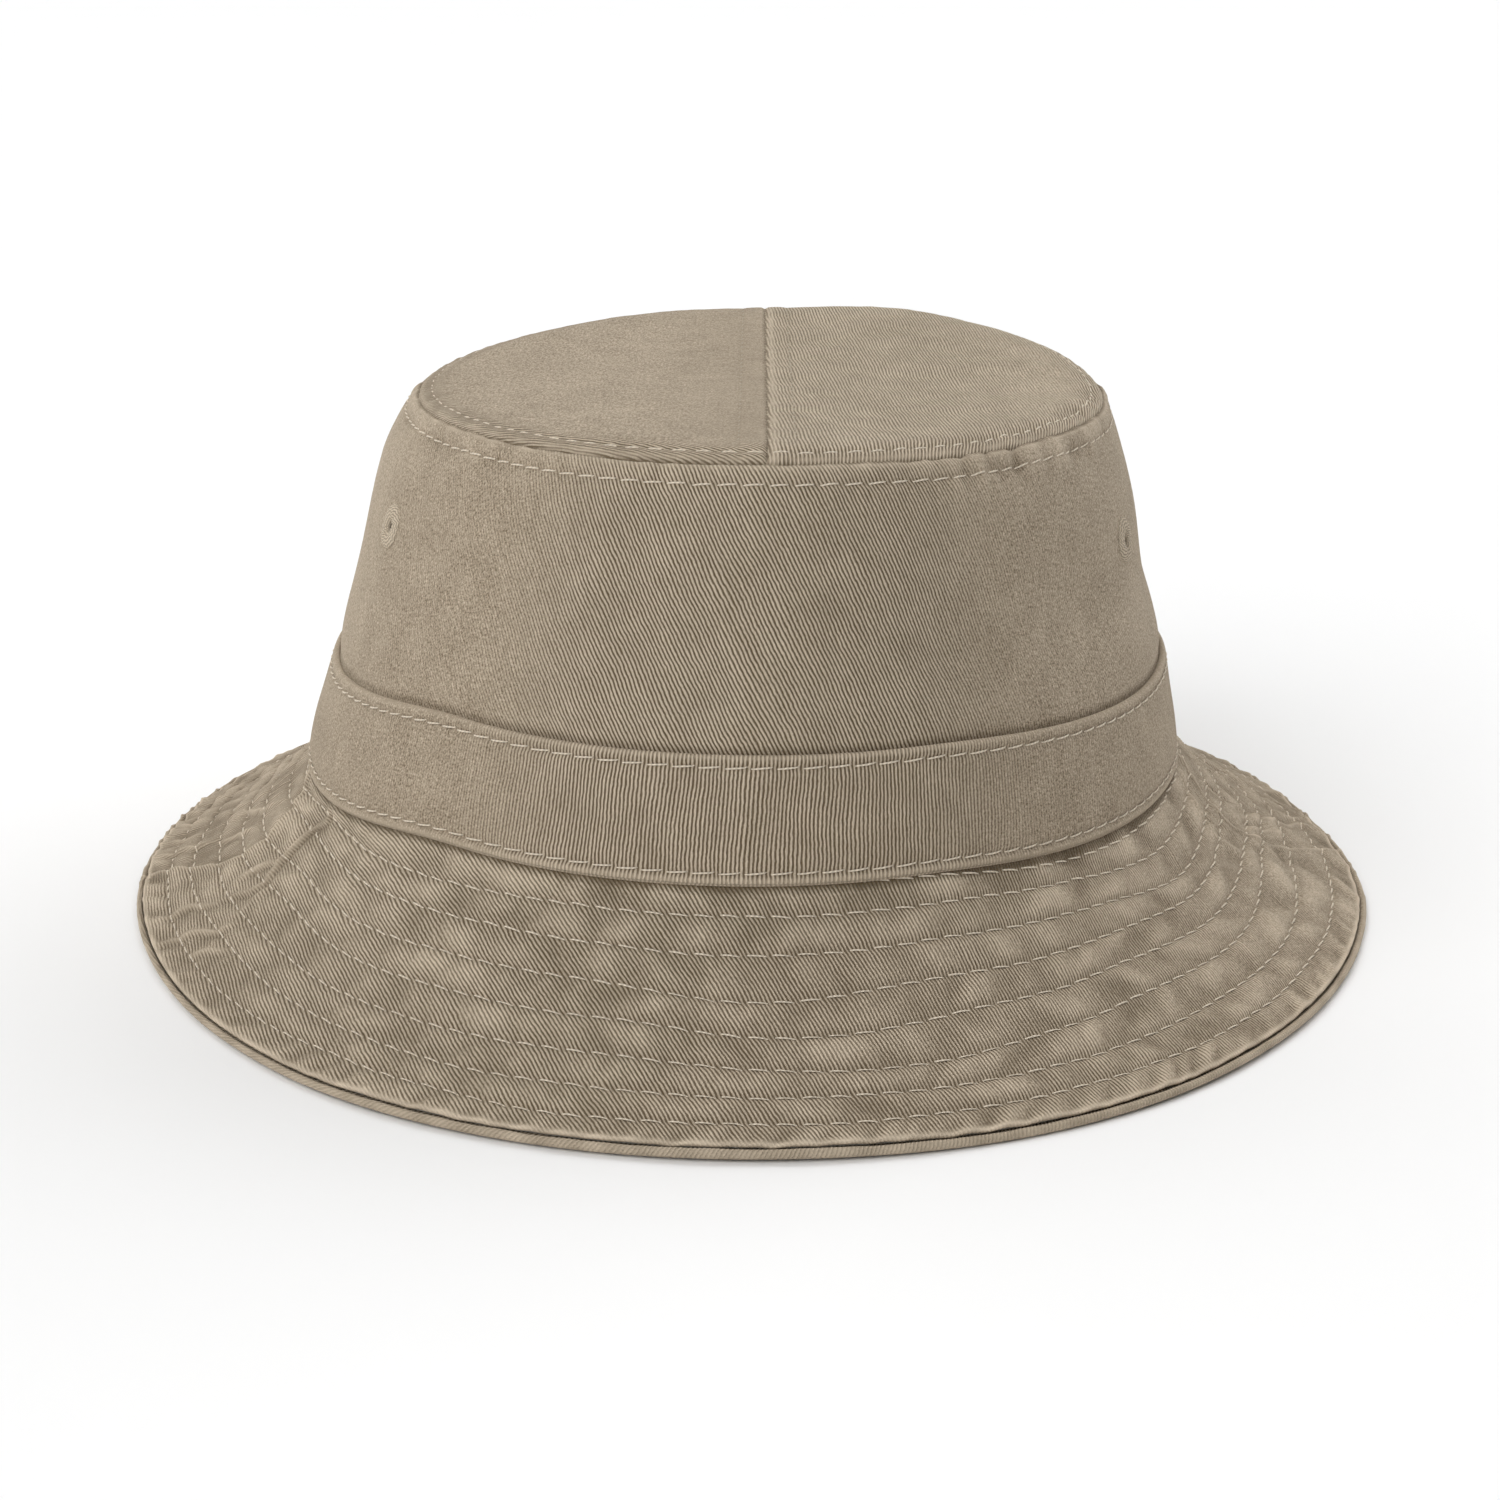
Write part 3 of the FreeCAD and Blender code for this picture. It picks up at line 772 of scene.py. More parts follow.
TWILL = twill("washed_twill")
TWILL_BAND = twill("washed_twill_band", slant=90.0, pitch=0.737)
TWILL_TOP = twill("washed_twill_top", nap=("nap_x", "nap_y"))
THREAD = sewing_thread("khaki_thread", (0.75, 0.66, 0.535))
THREAD_DULL = sewing_thread("khaki_thread_dull", (0.44, 0.375, 0.285))
THREAD_SATIN = sewing_thread("khaki_thread_satin", (0.52, 0.44, 0.335), 0.7)
LINING = plain_weave("sweatband_cloth", (0.36, 0.30, 0.225), 0.45, 0.1)
TAPE_CLOTH = plain_weave("seam_tape_cloth", (0.40, 0.34, 0.26), 0.5, 0.1)
STIFF_CLOTH = plain_weave("interlining_cloth", (0.62, 0.60, 0.55), 0.7, 0.0)
RIBBON = satin("label_ribbon", (0.72, 0.70, 0.65))


# ---------------------------------------------------------------- pieces

STITCH = 4.4


def finish_piece(mesh, name, material, slot, *nodes, body="hat", flip=False):
    """Writes a mesh as a piece that rides on a body and stands for some CAD nodes."""
    piece = mesh.build(name, material, flip)
    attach(piece, body)
    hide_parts(*nodes)
    return piece


def row_phase(theta, d):
    """Count of stitches from the front along a row that lies d outside the outline."""
    whole = float(arc(math.radians(90), d) - arc(math.radians(-270), d))
    return arc(theta, d) / whole * round(whole / STITCH)


# Where a ply comes back along its hidden face, and how its face is divided between two rows.
RETURN = list(np.linspace(46, -1.2, 20))
LANES = [0, 0.06, 0.13, 0.22, 0.33, 0.45, 0.57, 0.68, 0.78, 0.87, 0.94, 1.0]
# Each ply of the brim: heights of its face and back, its rounded edge, and how far it follows the puckers of
# the upper and the under face.
PLIES = {
    "upper": {
        "node": "brim_top_", "slot": "twill", "material": TWILL, "columns": 960, "lanes": LANES,
        "top": 1.0, "under": 0.0, "face": 0.0, "back": -0.7,
        "edge": [(49.12, -0.03), (49.32, -0.15), (49.4, -0.35), (49.33, -0.55), (49.05, -0.68)],
    },
    "lower": {
        "node": "brim_under_", "slot": "twill", "material": TWILL, "columns": 480, "lanes": LANES,
        "top": 0.0, "under": 1.0, "face": -2.0, "back": -1.3,
        "edge": [(49.5, -2.0), (50.3, -1.94), (50.75, -1.7), (51.0, -1.3), (51.03, -0.85), (50.9, -0.38),
                 (50.6, -0.07), (50.25, -0.02), (49.93, -0.16), (49.74, -0.5), (49.7, -0.95), (49.5, -1.22),
                 (49.1, -1.3)],
    },
    "filling": {
        "node": "brim_interlining_", "slot": "interlining", "material": STIFF_CLOTH, "columns": 200,
        "lanes": [0, 0.5, 1.0], "top": 0.45, "under": 0.0, "face": -0.93, "back": -1.07,
        "edge": [(48.95, -0.95), (49.0, -1.0), (48.95, -1.05)],
    },
}
# The directions each half of the brim runs between, at any distance s.
HALVES = {"front": (BRIM_LEFT, BRIM_RIGHT), "back": (BRIM_RIGHT, lambda s: BRIM_LEFT(s) + TAU)}


def brim_grid(ply, start, end):
    """Grid of one half of a ply: direction, s, height, distance along the cloth, lane, and the rows' s."""
    u = np.linspace(0, 1, ply["columns"])[:, None]
    u = u - 0.45 * np.sin(TAU * u) / TAU
    mid = start(25.0) * (1 - u) + end(25.0) * u
    rows = [brim_row(i, mid) for i in range(len(ROWS))]
    limits = [np.full_like(mid, -1.2)] + rows + [np.full_like(mid, BRIM_EDGE - 0.45)]
    face, lane = [], []
    for i, (low, high) in enumerate(zip(limits, limits[1:])):
        for t in ply["lanes"][:-1] if i < len(ROWS) else ply["lanes"]:
            face.append(low + (high - low) * t)
            lane.append(i + t)
    face = np.concatenate(face, axis=1)
    turned, height = np.array(ply["edge"] + [(s, ply["back"]) for s in RETURN]).T
    lane = np.concatenate([lane, np.full(len(turned), 8.0)])
    s = np.concatenate([face, turned + 0 * mid], axis=1)
    lip = (turned > 49.6) & (height > -1.0)
    wobble = ring_noise(mid, 84, 0.5, 19) + 0.6 * ring_noise(mid, 190, 0.5, 20)
    n = np.concatenate([np.full_like(face, ply["face"]), height + 0.16 * lip * wobble], axis=1)
    length = np.concatenate([[0], np.cumsum(np.hypot(np.diff(turned), np.diff(height)))])
    along = np.concatenate([face, face[:, -1:] + 0.3 + length], axis=1)
    return start(s) * (1 - u) + end(s) * u, s, n, along, lane, rows


def brim_half(name, half):
    """One half of one ply, with its layers for the cloth's material."""
    ply = PLIES[name]
    theta, s, n, along, lane, rows = brim_grid(ply, *HALVES[half])
    rise, worn, painted_crease_shade = brim_shape(theta, s)
    (upper, puff), (lower, under_puff) = (brim_quilting(theta, s, seed) for seed in PUCKER_SEEDS)
    hill = rise + ply["top"] * upper - ply["under"] * lower

    nearest = np.clip(np.round(lane), 1, len(ROWS)).astype(int) - 1
    row_s = np.concatenate([rows[i] for i in nearest], axis=1)
    off = np.where(lane < 7.9, np.abs(s - row_s), 9.0)
    phase = np.zeros_like(s)
    for i, place in enumerate(ROWS):
        phase[:, nearest == i] = row_phase(theta[:, nearest == i], float(brim_section(place, 0)[0]))

    if ply["under"]:
        rim = 0.85 * np.exp(-((s - 50.75) / 0.8) ** 4) * (n > -1.95)
    else:
        rim = 1.2 * bump(s, BRIM_EDGE - 0.35, 0.8) * (lane > 7.2)
    patchy = 0.75 + 0.25 * ring_noise(theta, 160, s / 5, 61)
    wear = np.clip(np.maximum(worn, rim) * patchy, 0, 1)

    # Painted shade and light: the flank of each pucker that faces away from the front is darker and the other
    # a little lighter, and the far flank's ribs are hidden under fuzz.
    slope = np.gradient(hill, axis=0) / np.gradient(arc(theta, 0.79 * s), axis=0)
    flank = slope * np.sign(np.cos(theta)) * step(np.abs(np.cos(theta)), 0.1, 0.45)
    fuzz = 0.22 * near_seams(theta) + 0.5 * facing(theta, -6, 27) + np.clip(-3 * flank, 0, 0.6)
    # Painted shade and light in the relief layer: the puffs between the rows are lighter and their hollows
    # darker, most beside the seams, with the painted shade beside folds and seams, lighter at the right and
    # lighter towards the head seam than at the edge.
    contrast = (2.95 - 0.018 * s) * (1 + 0.7 * (lane > 7) * near_seams(theta))
    relief = np.clip(((puff if ply["top"] else under_puff) - 0.14) * contrast, -1.3, 1.2) - painted_crease_shade - 0.06
    relief = relief + 0.22 * facing(theta, -8, 26) + np.clip(1.5 * flank, -0.6, 0.25) + 0.14 * (1 - s / 25)
    if ply["top"]:
        # Shade under the band, and in the deep row behind the left seam.
        foot = np.maximum(seam_row(theta), 0.6)
        shade = 2.2 * (1 - step(s, 0.4, 1.5)) + 2.4 * bump(s, foot - 0.6, 0.6) * facing(theta, -38, 26)
        dash = 0.25 + 0.75 * step(-np.cos(TAU * phase), -0.5, 0.2)
        deep_row_shade = 2.2 * dash * bump(s, row_s, 0.55) * facing(theta, -190, 20)
        relief = np.maximum(relief - shade, -2.2) - deep_row_shade

    layers = {"relief": relief, "wear": wear, "row": off, "phase": phase, "fuzz": np.clip(fuzz, 0, 0.95)}
    mesh = Mesh()
    mesh.add_strip(brim_place(theta, s, n + hill), flat_pattern(theta, along, 0.79), layers)
    finish_piece(mesh, "brim_" + name + "_" + half, ply["material"], ply["slot"], ply["node"] + half,
                 flip=not ply["under"])


def rubbed_smooth(theta):
    """How far handling has brushed the ribs of the wall and the band away, most at the two sides."""
    return 0.85 * step(np.abs(np.cos(theta)), 0.36, 0.80)


def strip_ring(name, stations, point, material, slot, *nodes, d, row_at=()):
    """A closed section of (s, n) stations carried round the crown; at d its cloth's length is true."""
    theta = np.linspace(-math.pi, math.pi, 901)[:-1, None]
    s, n = np.array(stations).T
    along = np.concatenate([[0], np.cumsum(np.hypot(np.diff(s), np.diff(n)))]) + s[0]
    theta, s, n = np.broadcast_arrays(theta, s[None, :], n[None, :])
    uv = np.stack([arc(theta, d), along[None, :] + 0 * theta], -1)
    wrap = uv[:1].copy()
    wrap[..., 0] = 2 * uv[-1:, :, 0] - uv[-2:-1, :, 0]
    off = np.full(s.shape, 9.0)
    phase = np.zeros(s.shape)
    for place in row_at:
        off = np.minimum(off, np.abs(s - place))
        phase = row_phase(theta, crown_offset(place))
    low_roll = 1 - step(s, BAND_FOOT + 1.0, BAND_FOOT + 1.9)
    rolled = np.maximum(low_roll, 0.8 * step(s, BAND_TOP - 1.1, BAND_TOP - 0.5))
    # Painted light and shade: the rolled edges and the front are lighter, the right and the left front
    # darker.
    relief = 0.3 * rolled + 0.16 * facing(theta, -90, 32) - 0.14 * facing(theta, -20, 30)
    relief = relief - 0.14 * facing(theta, -148, 18)
    fuzz = rubbed_smooth(theta)
    layers = {"relief": relief, "wear": 0.54 * rolled, "row": off, "phase": phase, "fuzz": fuzz}
    mesh = Mesh()
    mesh.add_grid(point(theta, s, n), closed_uv(np.concatenate([uv, wrap])), layers, wrap_u=True, wrap_v=True)
    finish_piece(mesh, name, material, slot, *nodes)


# Vent eyelets: place, direction in degrees and height up the wall.
EYELETS = {
    "left_front": (-158.0, 50.6),
    "right_front": (-19.4, 48.4),
    "left_rear": (157.0, 48.0),
    "right_rear": (23.0, 48.0),
}
HOLE_RADIUS, HOLE_SPREAD = 1.6, 5.0


def eyelet_frame(place):
    """Direction, height and plan radius at an eyelet's centre."""
    degrees, s = EYELETS[place]
    theta = math.radians(degrees)
    side = math.atan2(abs(math.sin(theta)), abs(math.cos(theta))) < TURN
    return theta, s, (SIDE_RADIUS if side else END_RADIUS) + crown_offset(s)


def crown_layers(theta, s, front):
    """Layers of a wall panel; front is true on its outer face."""
    fold = bump(s, CROWN_TOP - 0.5, 0.9) * (0.7 + 0.5 * ring_noise(theta, 120, s / 4, 62))
    wear = np.where(front, np.maximum(0.8 * fold, 0.35 * bump(side_gap(theta), 1.3, 0.7)), 0)
    broken = np.clip(0.8 + 0.7 * ring_noise(theta, 210, 0.5, 66), 0.2, 1)
    shadow = broken * step(s, CROWN_TOP - 0.3, CROWN_TOP + 0.1) + 0.9 * bump(s, BAND_TOP + 0.25, 0.45)
    # Painted shade and light: the puckers below the top seam are lighter on their crests and darker in their
    # hollows, a strip just below the top edge is lighter, the painted shadow darkens the top seam and the
    # line above the band, and the wall is lighter at the front and the left, darker at the right and the left
    # front.
    relief = np.clip(crown_pucker(theta, s) * 1.7, -1, 1) + 0.35 * bump(s, CROWN_TOP - 2, 1.4) - 2.2 * shadow
    for degrees, width, amount in ((-90, 32, 0.24), (-15, 30, -0.12), (-146, 17, -0.2), (-174, 14, 0.35)):
        relief = relief + amount * facing(theta, degrees, width)
    return {
        "relief": relief,
        "wear": np.clip(wear, 0, 1) * (1 - np.clip(shadow, 0, 1)),
        "row": np.where(front, np.abs(s - CROWN_STITCH), 9.0),
        "phase": row_phase(theta, crown_offset(CROWN_STITCH)),
        "fuzz": rubbed_smooth(theta),
    }


def crown_half(half):
    """One wall panel: face, curled top edge and back, with the holes of its two eyelets."""
    columns = 470
    theta = (-math.pi if half == "front" else 0.0) + math.pi * np.linspace(0, 1, columns)
    face = np.concatenate([np.linspace(-0.8, 1.2, 3), np.arange(2.4, 57, 1.15),
                           np.linspace(57.4, CROWN_STITCH, 19), np.linspace(CROWN_STITCH, CROWN_TOP, 9)[1:]])
    curl = [CROWN_TOP + 0.3, CROWN_TOP + 0.42, CROWN_TOP + 0.3]
    along = np.concatenate([face, face[-1] + np.array([0.35, 0.7, 1.0]), 2 * face[-1] + 1.4 - face[::-1]])
    n = np.concatenate([np.zeros(len(face)), [0.12, 0.35, 0.58], np.full(len(face), CLOTH)])
    s = np.broadcast_to(np.concatenate([face, curl, face[::-1]]), (columns, len(n))).copy()
    th = np.repeat(theta[:, None], len(n), axis=1)
    nv = len(n)
    holes, rims = [], []
    for place in EYELETS:
        centre, height, radius = eyelet_frame(place)
        if not theta[0] < centre < theta[-1]:
            continue
        # The cell at the hole's centre is left out, and the grid spreads from it to the hole's rim.
        i = int(np.searchsorted(theta, centre) - 1)
        j = int(np.searchsorted(face, height) - 1)
        dx, dy = (th - centre) * radius, s - height
        r = np.hypot(dx, dy)
        pushed = np.where(r < HOLE_SPREAD, HOLE_RADIUS + r * (1 - HOLE_RADIUS / HOLE_SPREAD), r)
        spread = pushed / np.maximum(r, 1e-6)
        th, s = centre + dx * spread / radius, height + dy * spread
        holes += [(i, j), (i, nv - 2 - j)]
        rims.append([(i, j), (i + 1, j), (i + 1, j + 1), (i, j + 1)])
    front = (n < 0.05)[None, :]
    uv = closed_uv(flat_pattern(th, -np.where(front, s, along[None, :]), math.sin(CROWN_LEAN)))
    mesh = Mesh()
    mesh.add_grid(crown_point(th, s, n[None, :]), uv, crown_layers(th, s, front), wrap_v=True, holes=holes)
    for rim in rims:
        outer = [a * nv + b for a, b in rim]
        inner = [a * nv + nv - 1 - b for a, b in rim]
        walls = [(outer[k - 1], outer[k], inner[k], inner[k - 1]) for k in (1, 2, 3, 0)]
        mesh.add_quads(np.array(walls), np.broadcast_to(uv[rim[0]], (4, 4, 2)))
    mesh.close_ends(columns, nv, uv)
    finish_piece(mesh, "crown_wall_" + half, TWILL, "twill", "crown_side_" + half)


def tip_layers(x, y, inset, theta):
    """Layers of the flat top."""
    left = facing(theta, 150, 28)
    pale = (0.6 * bump(inset, 0.9, 0.5) + 0.7 * bump(x, 1.2, 0.8)) * (0.7 + 0.5 * noise(x / 4, y / 4, 63))
    # Painted shade and light in the relief layer, over random blotches of tone: pucker crests lighter and
    # hollows darker, darker over the left half, near the rim at the left and along a line inside it at the
    # left back, and painted shade in the crown seam and in dashes along the middle seam.
    relief = (0.22 * noise(x / 10, y / 26, 64) + 0.12 * noise(x / 4, y / 12, 65)) * step(inset, 3, 8)
    relief = relief + 1.6 * tip_pucker(x, y, inset) - 0.14 * step(-x, -6, 20)
    relief = relief - 0.35 * (1 - step(inset, 2.5, 5)) * step(-x, -10, 30)
    relief = relief - 0.7 * bump(inset, 5.2, 0.9) * left
    relief = relief - 2.2 * (1 - step(inset, 0.05, 0.4))
    relief = relief - 2.0 * bump(x, 0, 0.3) * (0.7 + 0.4 * np.sign(np.sin(y * TAU / 3.1)))
    beside_seam = np.where(inset > TIP_STITCH + 1, np.abs(np.abs(x) - TIP_SEAM_ROW), 9.0)
    ring = row_phase(theta, TIP_D - TIP_STITCH)
    return {
        "relief": relief,
        "wear": np.maximum(np.clip(pale, 0, 1), 0.8 * bump(inset, 3.9, 0.6) * left),
        "row": np.minimum(np.abs(inset - TIP_STITCH), beside_seam),
        "phase": np.where(np.abs(inset - TIP_STITCH) < 1.2, ring, y / STITCH),
        "fuzz": (0.2 + 0.6 * step(-x, -8, 34) + 0.45 * step(x, 34, 70)) * step(inset, 3, 8),
        "nap_x": x,
        "nap_y": 0.36 * y,
    }


def tip_half(side):
    """Half of the flat top, from its outline to the middle; side is -1 for left and 1 for right."""
    u = np.linspace(0, 1, 380)[:, None]
    theta = -side * math.pi / 2 + math.pi * (u - 0.55 * np.sin(TAU * u) / TAU)
    near = np.array([
        0, 0.25, 0.5, 0.8, 1.1, 1.5, 1.9, 2.4, TIP_STITCH, 3.4, 4.0, 4.7, 5.5, 6.5, 7.6, 8.8, 10.2, 12.0])
    inwards = np.linspace(0, 1, 66)[1:-1]
    rims = outline(theta, TIP_D - near)
    x, y = (np.concatenate([rim, rim[:, -1:] * (1 - inwards)], axis=1) for rim in rims)
    inset = np.concatenate([near, near[-1] + inwards * 65]) + 0 * x
    theta = theta + 0 * x
    top, bottom = (tip_point(x, y, inset, n) for n in (0.0, -CLOTH))
    edge = tip_point(x[:, :1], y[:, :1], inset[:, :1], -CLOTH / 2)
    points = np.concatenate([bottom[:, ::-1], edge, top], axis=1)
    layers = {}
    for key, values in tip_layers(x, y, inset, theta).items():
        under = np.full((len(x), x.shape[1] + 1), 9.0 if key == "row" else 0.0)
        layers[key] = np.concatenate([under, values], axis=1)
    # The two halves are cut at slightly different angles to the cloth, and lie apart on it.
    turn = math.radians(25 if side > 0 else -24)
    slope = 1.1 * np.exp(-inset / 1.8)
    cx, cy = x + slope * np.cos(theta), y + slope * np.sin(theta)
    uv = np.stack([cx * math.cos(turn) - cy * math.sin(turn) + 300 * side,
                   cx * math.sin(turn) + cy * math.cos(turn)], -1)
    uv = np.concatenate([uv[:, ::-1], uv[:, :1], uv], axis=1)
    mesh = Mesh()
    mesh.add_grid(points, uv, layers)
    # The fans at the middle and the wall down the seam.
    nu, nv = points.shape[:2]
    mesh.add_cap(np.arange(nu) * nv + nv - 1, uv[:, -1])
    mesh.add_cap((np.arange(nu) * nv)[::-1], uv[::-1, 0])
    mesh.add_cap(np.concatenate([np.arange(nv), (nu - 1) * nv + np.arange(nv)[::-1]]), uv[0, 0])
    name = "right" if side > 0 else "left"
    finish_piece(mesh, "crown_top_" + name, TWILL_TOP, "twill", "crown_tip_" + name)


def band_profile():
    """Flat folded band with rolled edges, pulled in at its two rows."""
    low, high, out, back = BAND_FOOT, BAND_TOP, -BAND_THICK, -0.06
    mid, r = (out + back) / 2, (back - out) / 2
    rows = (low + 2.2, high - 2.1)
    places = np.concatenate([np.linspace(low + 0.5, rows[0], 6), np.linspace(rows[0], rows[1], 22)[1:],
                             np.linspace(rows[1], high - 0.5, 6)[1:]])
    face = [(s, out + 0.34 * bump(s, rows[0], 0.55) + 0.34 * bump(s, rows[1], 0.55) - 0.10
             - 0.22 * bump(s, low + 1.1, 0.6) - 0.06 * bump(s, high - 1.0, 0.6)) for s in places]
    roll = [(high - 0.5 + 0.55 * math.sin(a), mid - (r + 0.1) * math.cos(a))
            for a in np.linspace(0.35, math.pi - 0.2, 7)]
    rear = [(s, back) for s in np.linspace(high - 0.6, low + 0.6, 14)]
    foot = [(low + 0.5 - 0.55 * math.sin(a), mid + (r + 0.1) * math.cos(a))
            for a in np.linspace(0.2, math.pi - 0.35, 7)]
    return face + roll + rear + foot, rows


# ---------------------------------------------------------------- sewing


def stitches(count, at, start=0, seed=5, flip=False):
    """A row of separate stitches; at(phase, side, lift) is the place beside and above the row's line."""
    rings, sides, thick = 9, 7, 0.17
    k = np.arange(start, start + count)[:, None]
    t = np.linspace(0, 1, rings)[None, :]
    jitter = [0.5 * noise(k * 0.73 + 0.3, seed * 3.1 + j, 71 + j) for j in range(4)]
    phase = k + 0.05 + 0.03 * jitter[0] + (0.92 + 0.05 * jitter[1]) * t
    side = 0.10 * jitter[2] + 0.34 * (t - 0.5) + 0.22 * step(t, 0.86, 1.0)
    lift = -0.34 + 0.56 * np.sin(np.pi * np.clip(t, 0.02, 0.98)) ** 0.55 + 0.05 * jitter[3]
    width = (thick * np.sin(np.pi * np.clip(t, 0.07, 0.93)) ** 0.25)[:, :, None, None]
    centre = at(phase, side, lift)
    beside = unit(at(phase, side + 0.3, lift) - centre)
    above = unit(at(phase, side, lift + 0.3) - centre)
    a = np.linspace(0, TAU, sides + 1)[:-1][:, None]
    points = centre[:, :, None] + width * np.cos(a) * beside[:, :, None]
    points = points + 0.8 * width * np.sin(a) * above[:, :, None]
    places = np.meshgrid(np.arange(count), np.arange(rings - 1), np.arange(sides), indexing="ij")
    i, r, c = (place.reshape(-1) for place in places)
    here, onward = (i * rings + r) * sides, (i * rings + r + 1) * sides
    c1 = (c + 1) % sides
    faces = np.stack([here + c, onward + c, onward + c1, here + c1], -1)
    length = STITCH * 0.8 / (rings - 1)
    u0, u1, v0, v1 = i * 5.3 + r * length, i * 5.3 + (r + 1) * length, c / sides, (c + 1) / sides
    uv = np.stack([np.stack(corner, -1) for corner in ((u0, v0), (u1, v0), (u1, v1), (u0, v1))], 1)
    way = -1 if flip else 1
    mesh = Mesh()
    mesh.verts.append(points.reshape(-1, 3))
    mesh.count = points.size // 3
    mesh.add_quads(faces[:, ::way], uv[:, ::way])
    for first in range(0, mesh.count, rings * sides):
        mesh.add_cap((first + np.arange(sides))[::way], uv[0, 0])
        mesh.add_cap((first + (rings - 1) * sides + np.arange(sides)[::-1])[::way], uv[0, 0])
    return mesh


def phase_line(d):
    """The stitches of a row d outside the outline: their direction by count, how many, the first."""
    dense = np.linspace(math.radians(-271), math.radians(91), 6000)
    counts = row_phase(dense, d)
    first, last = (float(row_phase(math.radians(degrees), d)) for degrees in (-270, 90))
    return lambda phase: np.interp(phase, counts, dense), round(last - first), math.ceil(first)


def brim_threads(name, row_s, d, seed, node):
    """A row through the brim: stitches on its upper and its under face."""
    to_theta, total, first = phase_line(d)

    def above(phase, side, lift):
        theta = to_theta(phase)
        sunk = 0.30 * np.maximum(facing(theta, -190, 20), facing(theta, -215, 30))
        return brim_point(theta, row_s(theta) + side, lift - sunk, 1.0, 0.0)

    def below(phase, side, lift):
        theta = to_theta(phase)
        return brim_point(theta, row_s(theta) + side, -2.0 - lift, 0.0, 1.0)

    mesh = stitches(total, above, first, seed, flip=True)
    mesh.join(stitches(total, below, first, seed + 9))
    finish_piece(mesh, name, THREAD, "thread", node)


def crown_threads(name, s, n, out, seed, node, material=THREAD):
    """A row round the wall at height s, on the face at n; out is -1 outside and 1 inside."""
    to_theta, total, first = phase_line(crown_offset(s))
    mesh = stitches(total, lambda phase, side, lift: crown_point(to_theta(phase), s + side, n + out * lift),
                    first, seed, flip=out > 0)
    finish_piece(mesh, name, material, "thread", node)


def eyelet(place):
    """Satin-stitched ring round a vent hole."""
    centre, height, radius = eyelet_frame(place)
    angle = np.linspace(0, TAU, 169)[:-1][:, None]
    section = [
        (0.95, 0.35), (0.95, 0.0), (1.15, -0.30), (1.75, -0.52), (2.3, -0.66), (2.9, -0.66), (3.5, -0.50),
        (3.95, -0.24), (4.15, 0.06), (4.05, 0.4), (3.8, 0.95), (3.2, 1.12), (2.4, 1.14), (1.7, 1.04),
        (1.38, 0.72)]
    r, n = np.array(section).T[:, None, :]
    ridge = np.abs(np.sin(angle * 10 + 0.9 * noise(angle / TAU * 9, 0.6, 82, 9))) ** 0.7 - 0.6
    ragged = 0.22 * noise(angle / TAU * 21, 0.4, 81, 21)
    r = r + np.where(r > 3.0, ragged, 0.3 * ragged)
    n = n + np.where(n < 0.3, -0.32, 0.05) * ridge
    points = crown_point(centre + r * np.cos(angle) / radius, height + r * np.sin(angle), n)
    v, u = np.meshgrid(np.linspace(0, 11, len(section) + 1), np.linspace(0, 20, len(angle) + 1))
    mesh = Mesh()
    mesh.add_grid(points, np.stack([v, u], -1), {}, wrap_u=True, wrap_v=True)
    finish_piece(mesh, "vent_" + place, THREAD_SATIN, "thread", "eyelet_" + place)


def tip_threads():
    """The row round the top, just inside its seam, and the two beside the middle seam."""
    to_theta, total, first = phase_line(TIP_D - TIP_STITCH)

    def ring(phase, side, lift):
        theta = to_theta(phase)
        x, y = outline(theta, TIP_D - TIP_STITCH - side)
        return tip_point(x, y, TIP_STITCH + side, lift - 0.12 - 0.12 * facing(theta, -180, 50))

    finish_piece(stitches(total, ring, first, 41), "top_edge_threads", THREAD, "thread", "tip_edge_stitch")
    for side, label in ((-1, "left"), (1, "right")):
        def line(phase, off, lift):
            y = phase * STITCH
            return tip_point(side * TIP_SEAM_ROW + off + 0 * y, y, tip_seam_inset(y), lift - 0.2)

        reach = int((HALF_LENGTH + TIP_D - 7) / STITCH)
        mesh = stitches(2 * reach, line, -reach, 43, flip=True)
        finish_piece(mesh, "top_seam_threads_" + label, THREAD_DULL,
                     "thread", "tip_seam_stitch_" + label)


# ---------------------------------------------------------------- tapes and labels


def flat_strip(name, face, back, slot, material, size, *nodes, body="hat"):
    """A thin sheet between two grids of points; size is what the grids measure along the cloth."""
    ways = [np.linspace(0, length, count) for length, count in zip(size, face.shape)]
    uv = np.stack(np.meshgrid(*ways, indexing="ij"), -1)
    mesh = Mesh()
    points, places = (np.concatenate([a, b[:, ::-1]], axis=1) for a, b in ((face, back), (uv, uv)))
    mesh.add_strip(points, places, {})
    return finish_piece(mesh, name, material, slot, *nodes, body=body)


def crown_tape(name, theta, low, high, node):
    """A tape against the inside of the wall."""
    th, s = np.meshgrid(theta, np.linspace(low, high, 16), indexing="ij")
    size = (float(np.ptp(arc(theta, -12))), high - low)
    flat_strip(name, crown_point(th, s, 1.15), crown_point(th, s, 0.76), "tape", TAPE_CLOTH, size, node)


def tip_tape():
    """The tape under the seam of the flat top."""
    y, x = np.meshgrid(np.linspace(-84, 84, 120), np.linspace(-6, 6, 8), indexing="ij")
    face, back = (tip_point(x, y, tip_seam_inset(y), n) for n in (-0.76, -1.15))
    flat_strip("top_tape", face, back, "tape", TAPE_CLOTH, (168, 12), "tip_seam_tape")


# Each label: direction from straight back in degrees, width and length as cut.
LABELS = {"care_label": (0, 26.0, 20.0), "size_label": (30, 12.0, 15.0)}


def label_place(kind, across, out, z):
    """Points behind the opening, across a label's direction and out from the middle of the back's arc."""
    turn = math.radians(LABELS[kind][0])
    x = across * math.cos(turn) - out * math.sin(turn)
    return np.stack([x, END_Y + across * math.sin(turn) + out * math.cos(turn), z], -1)


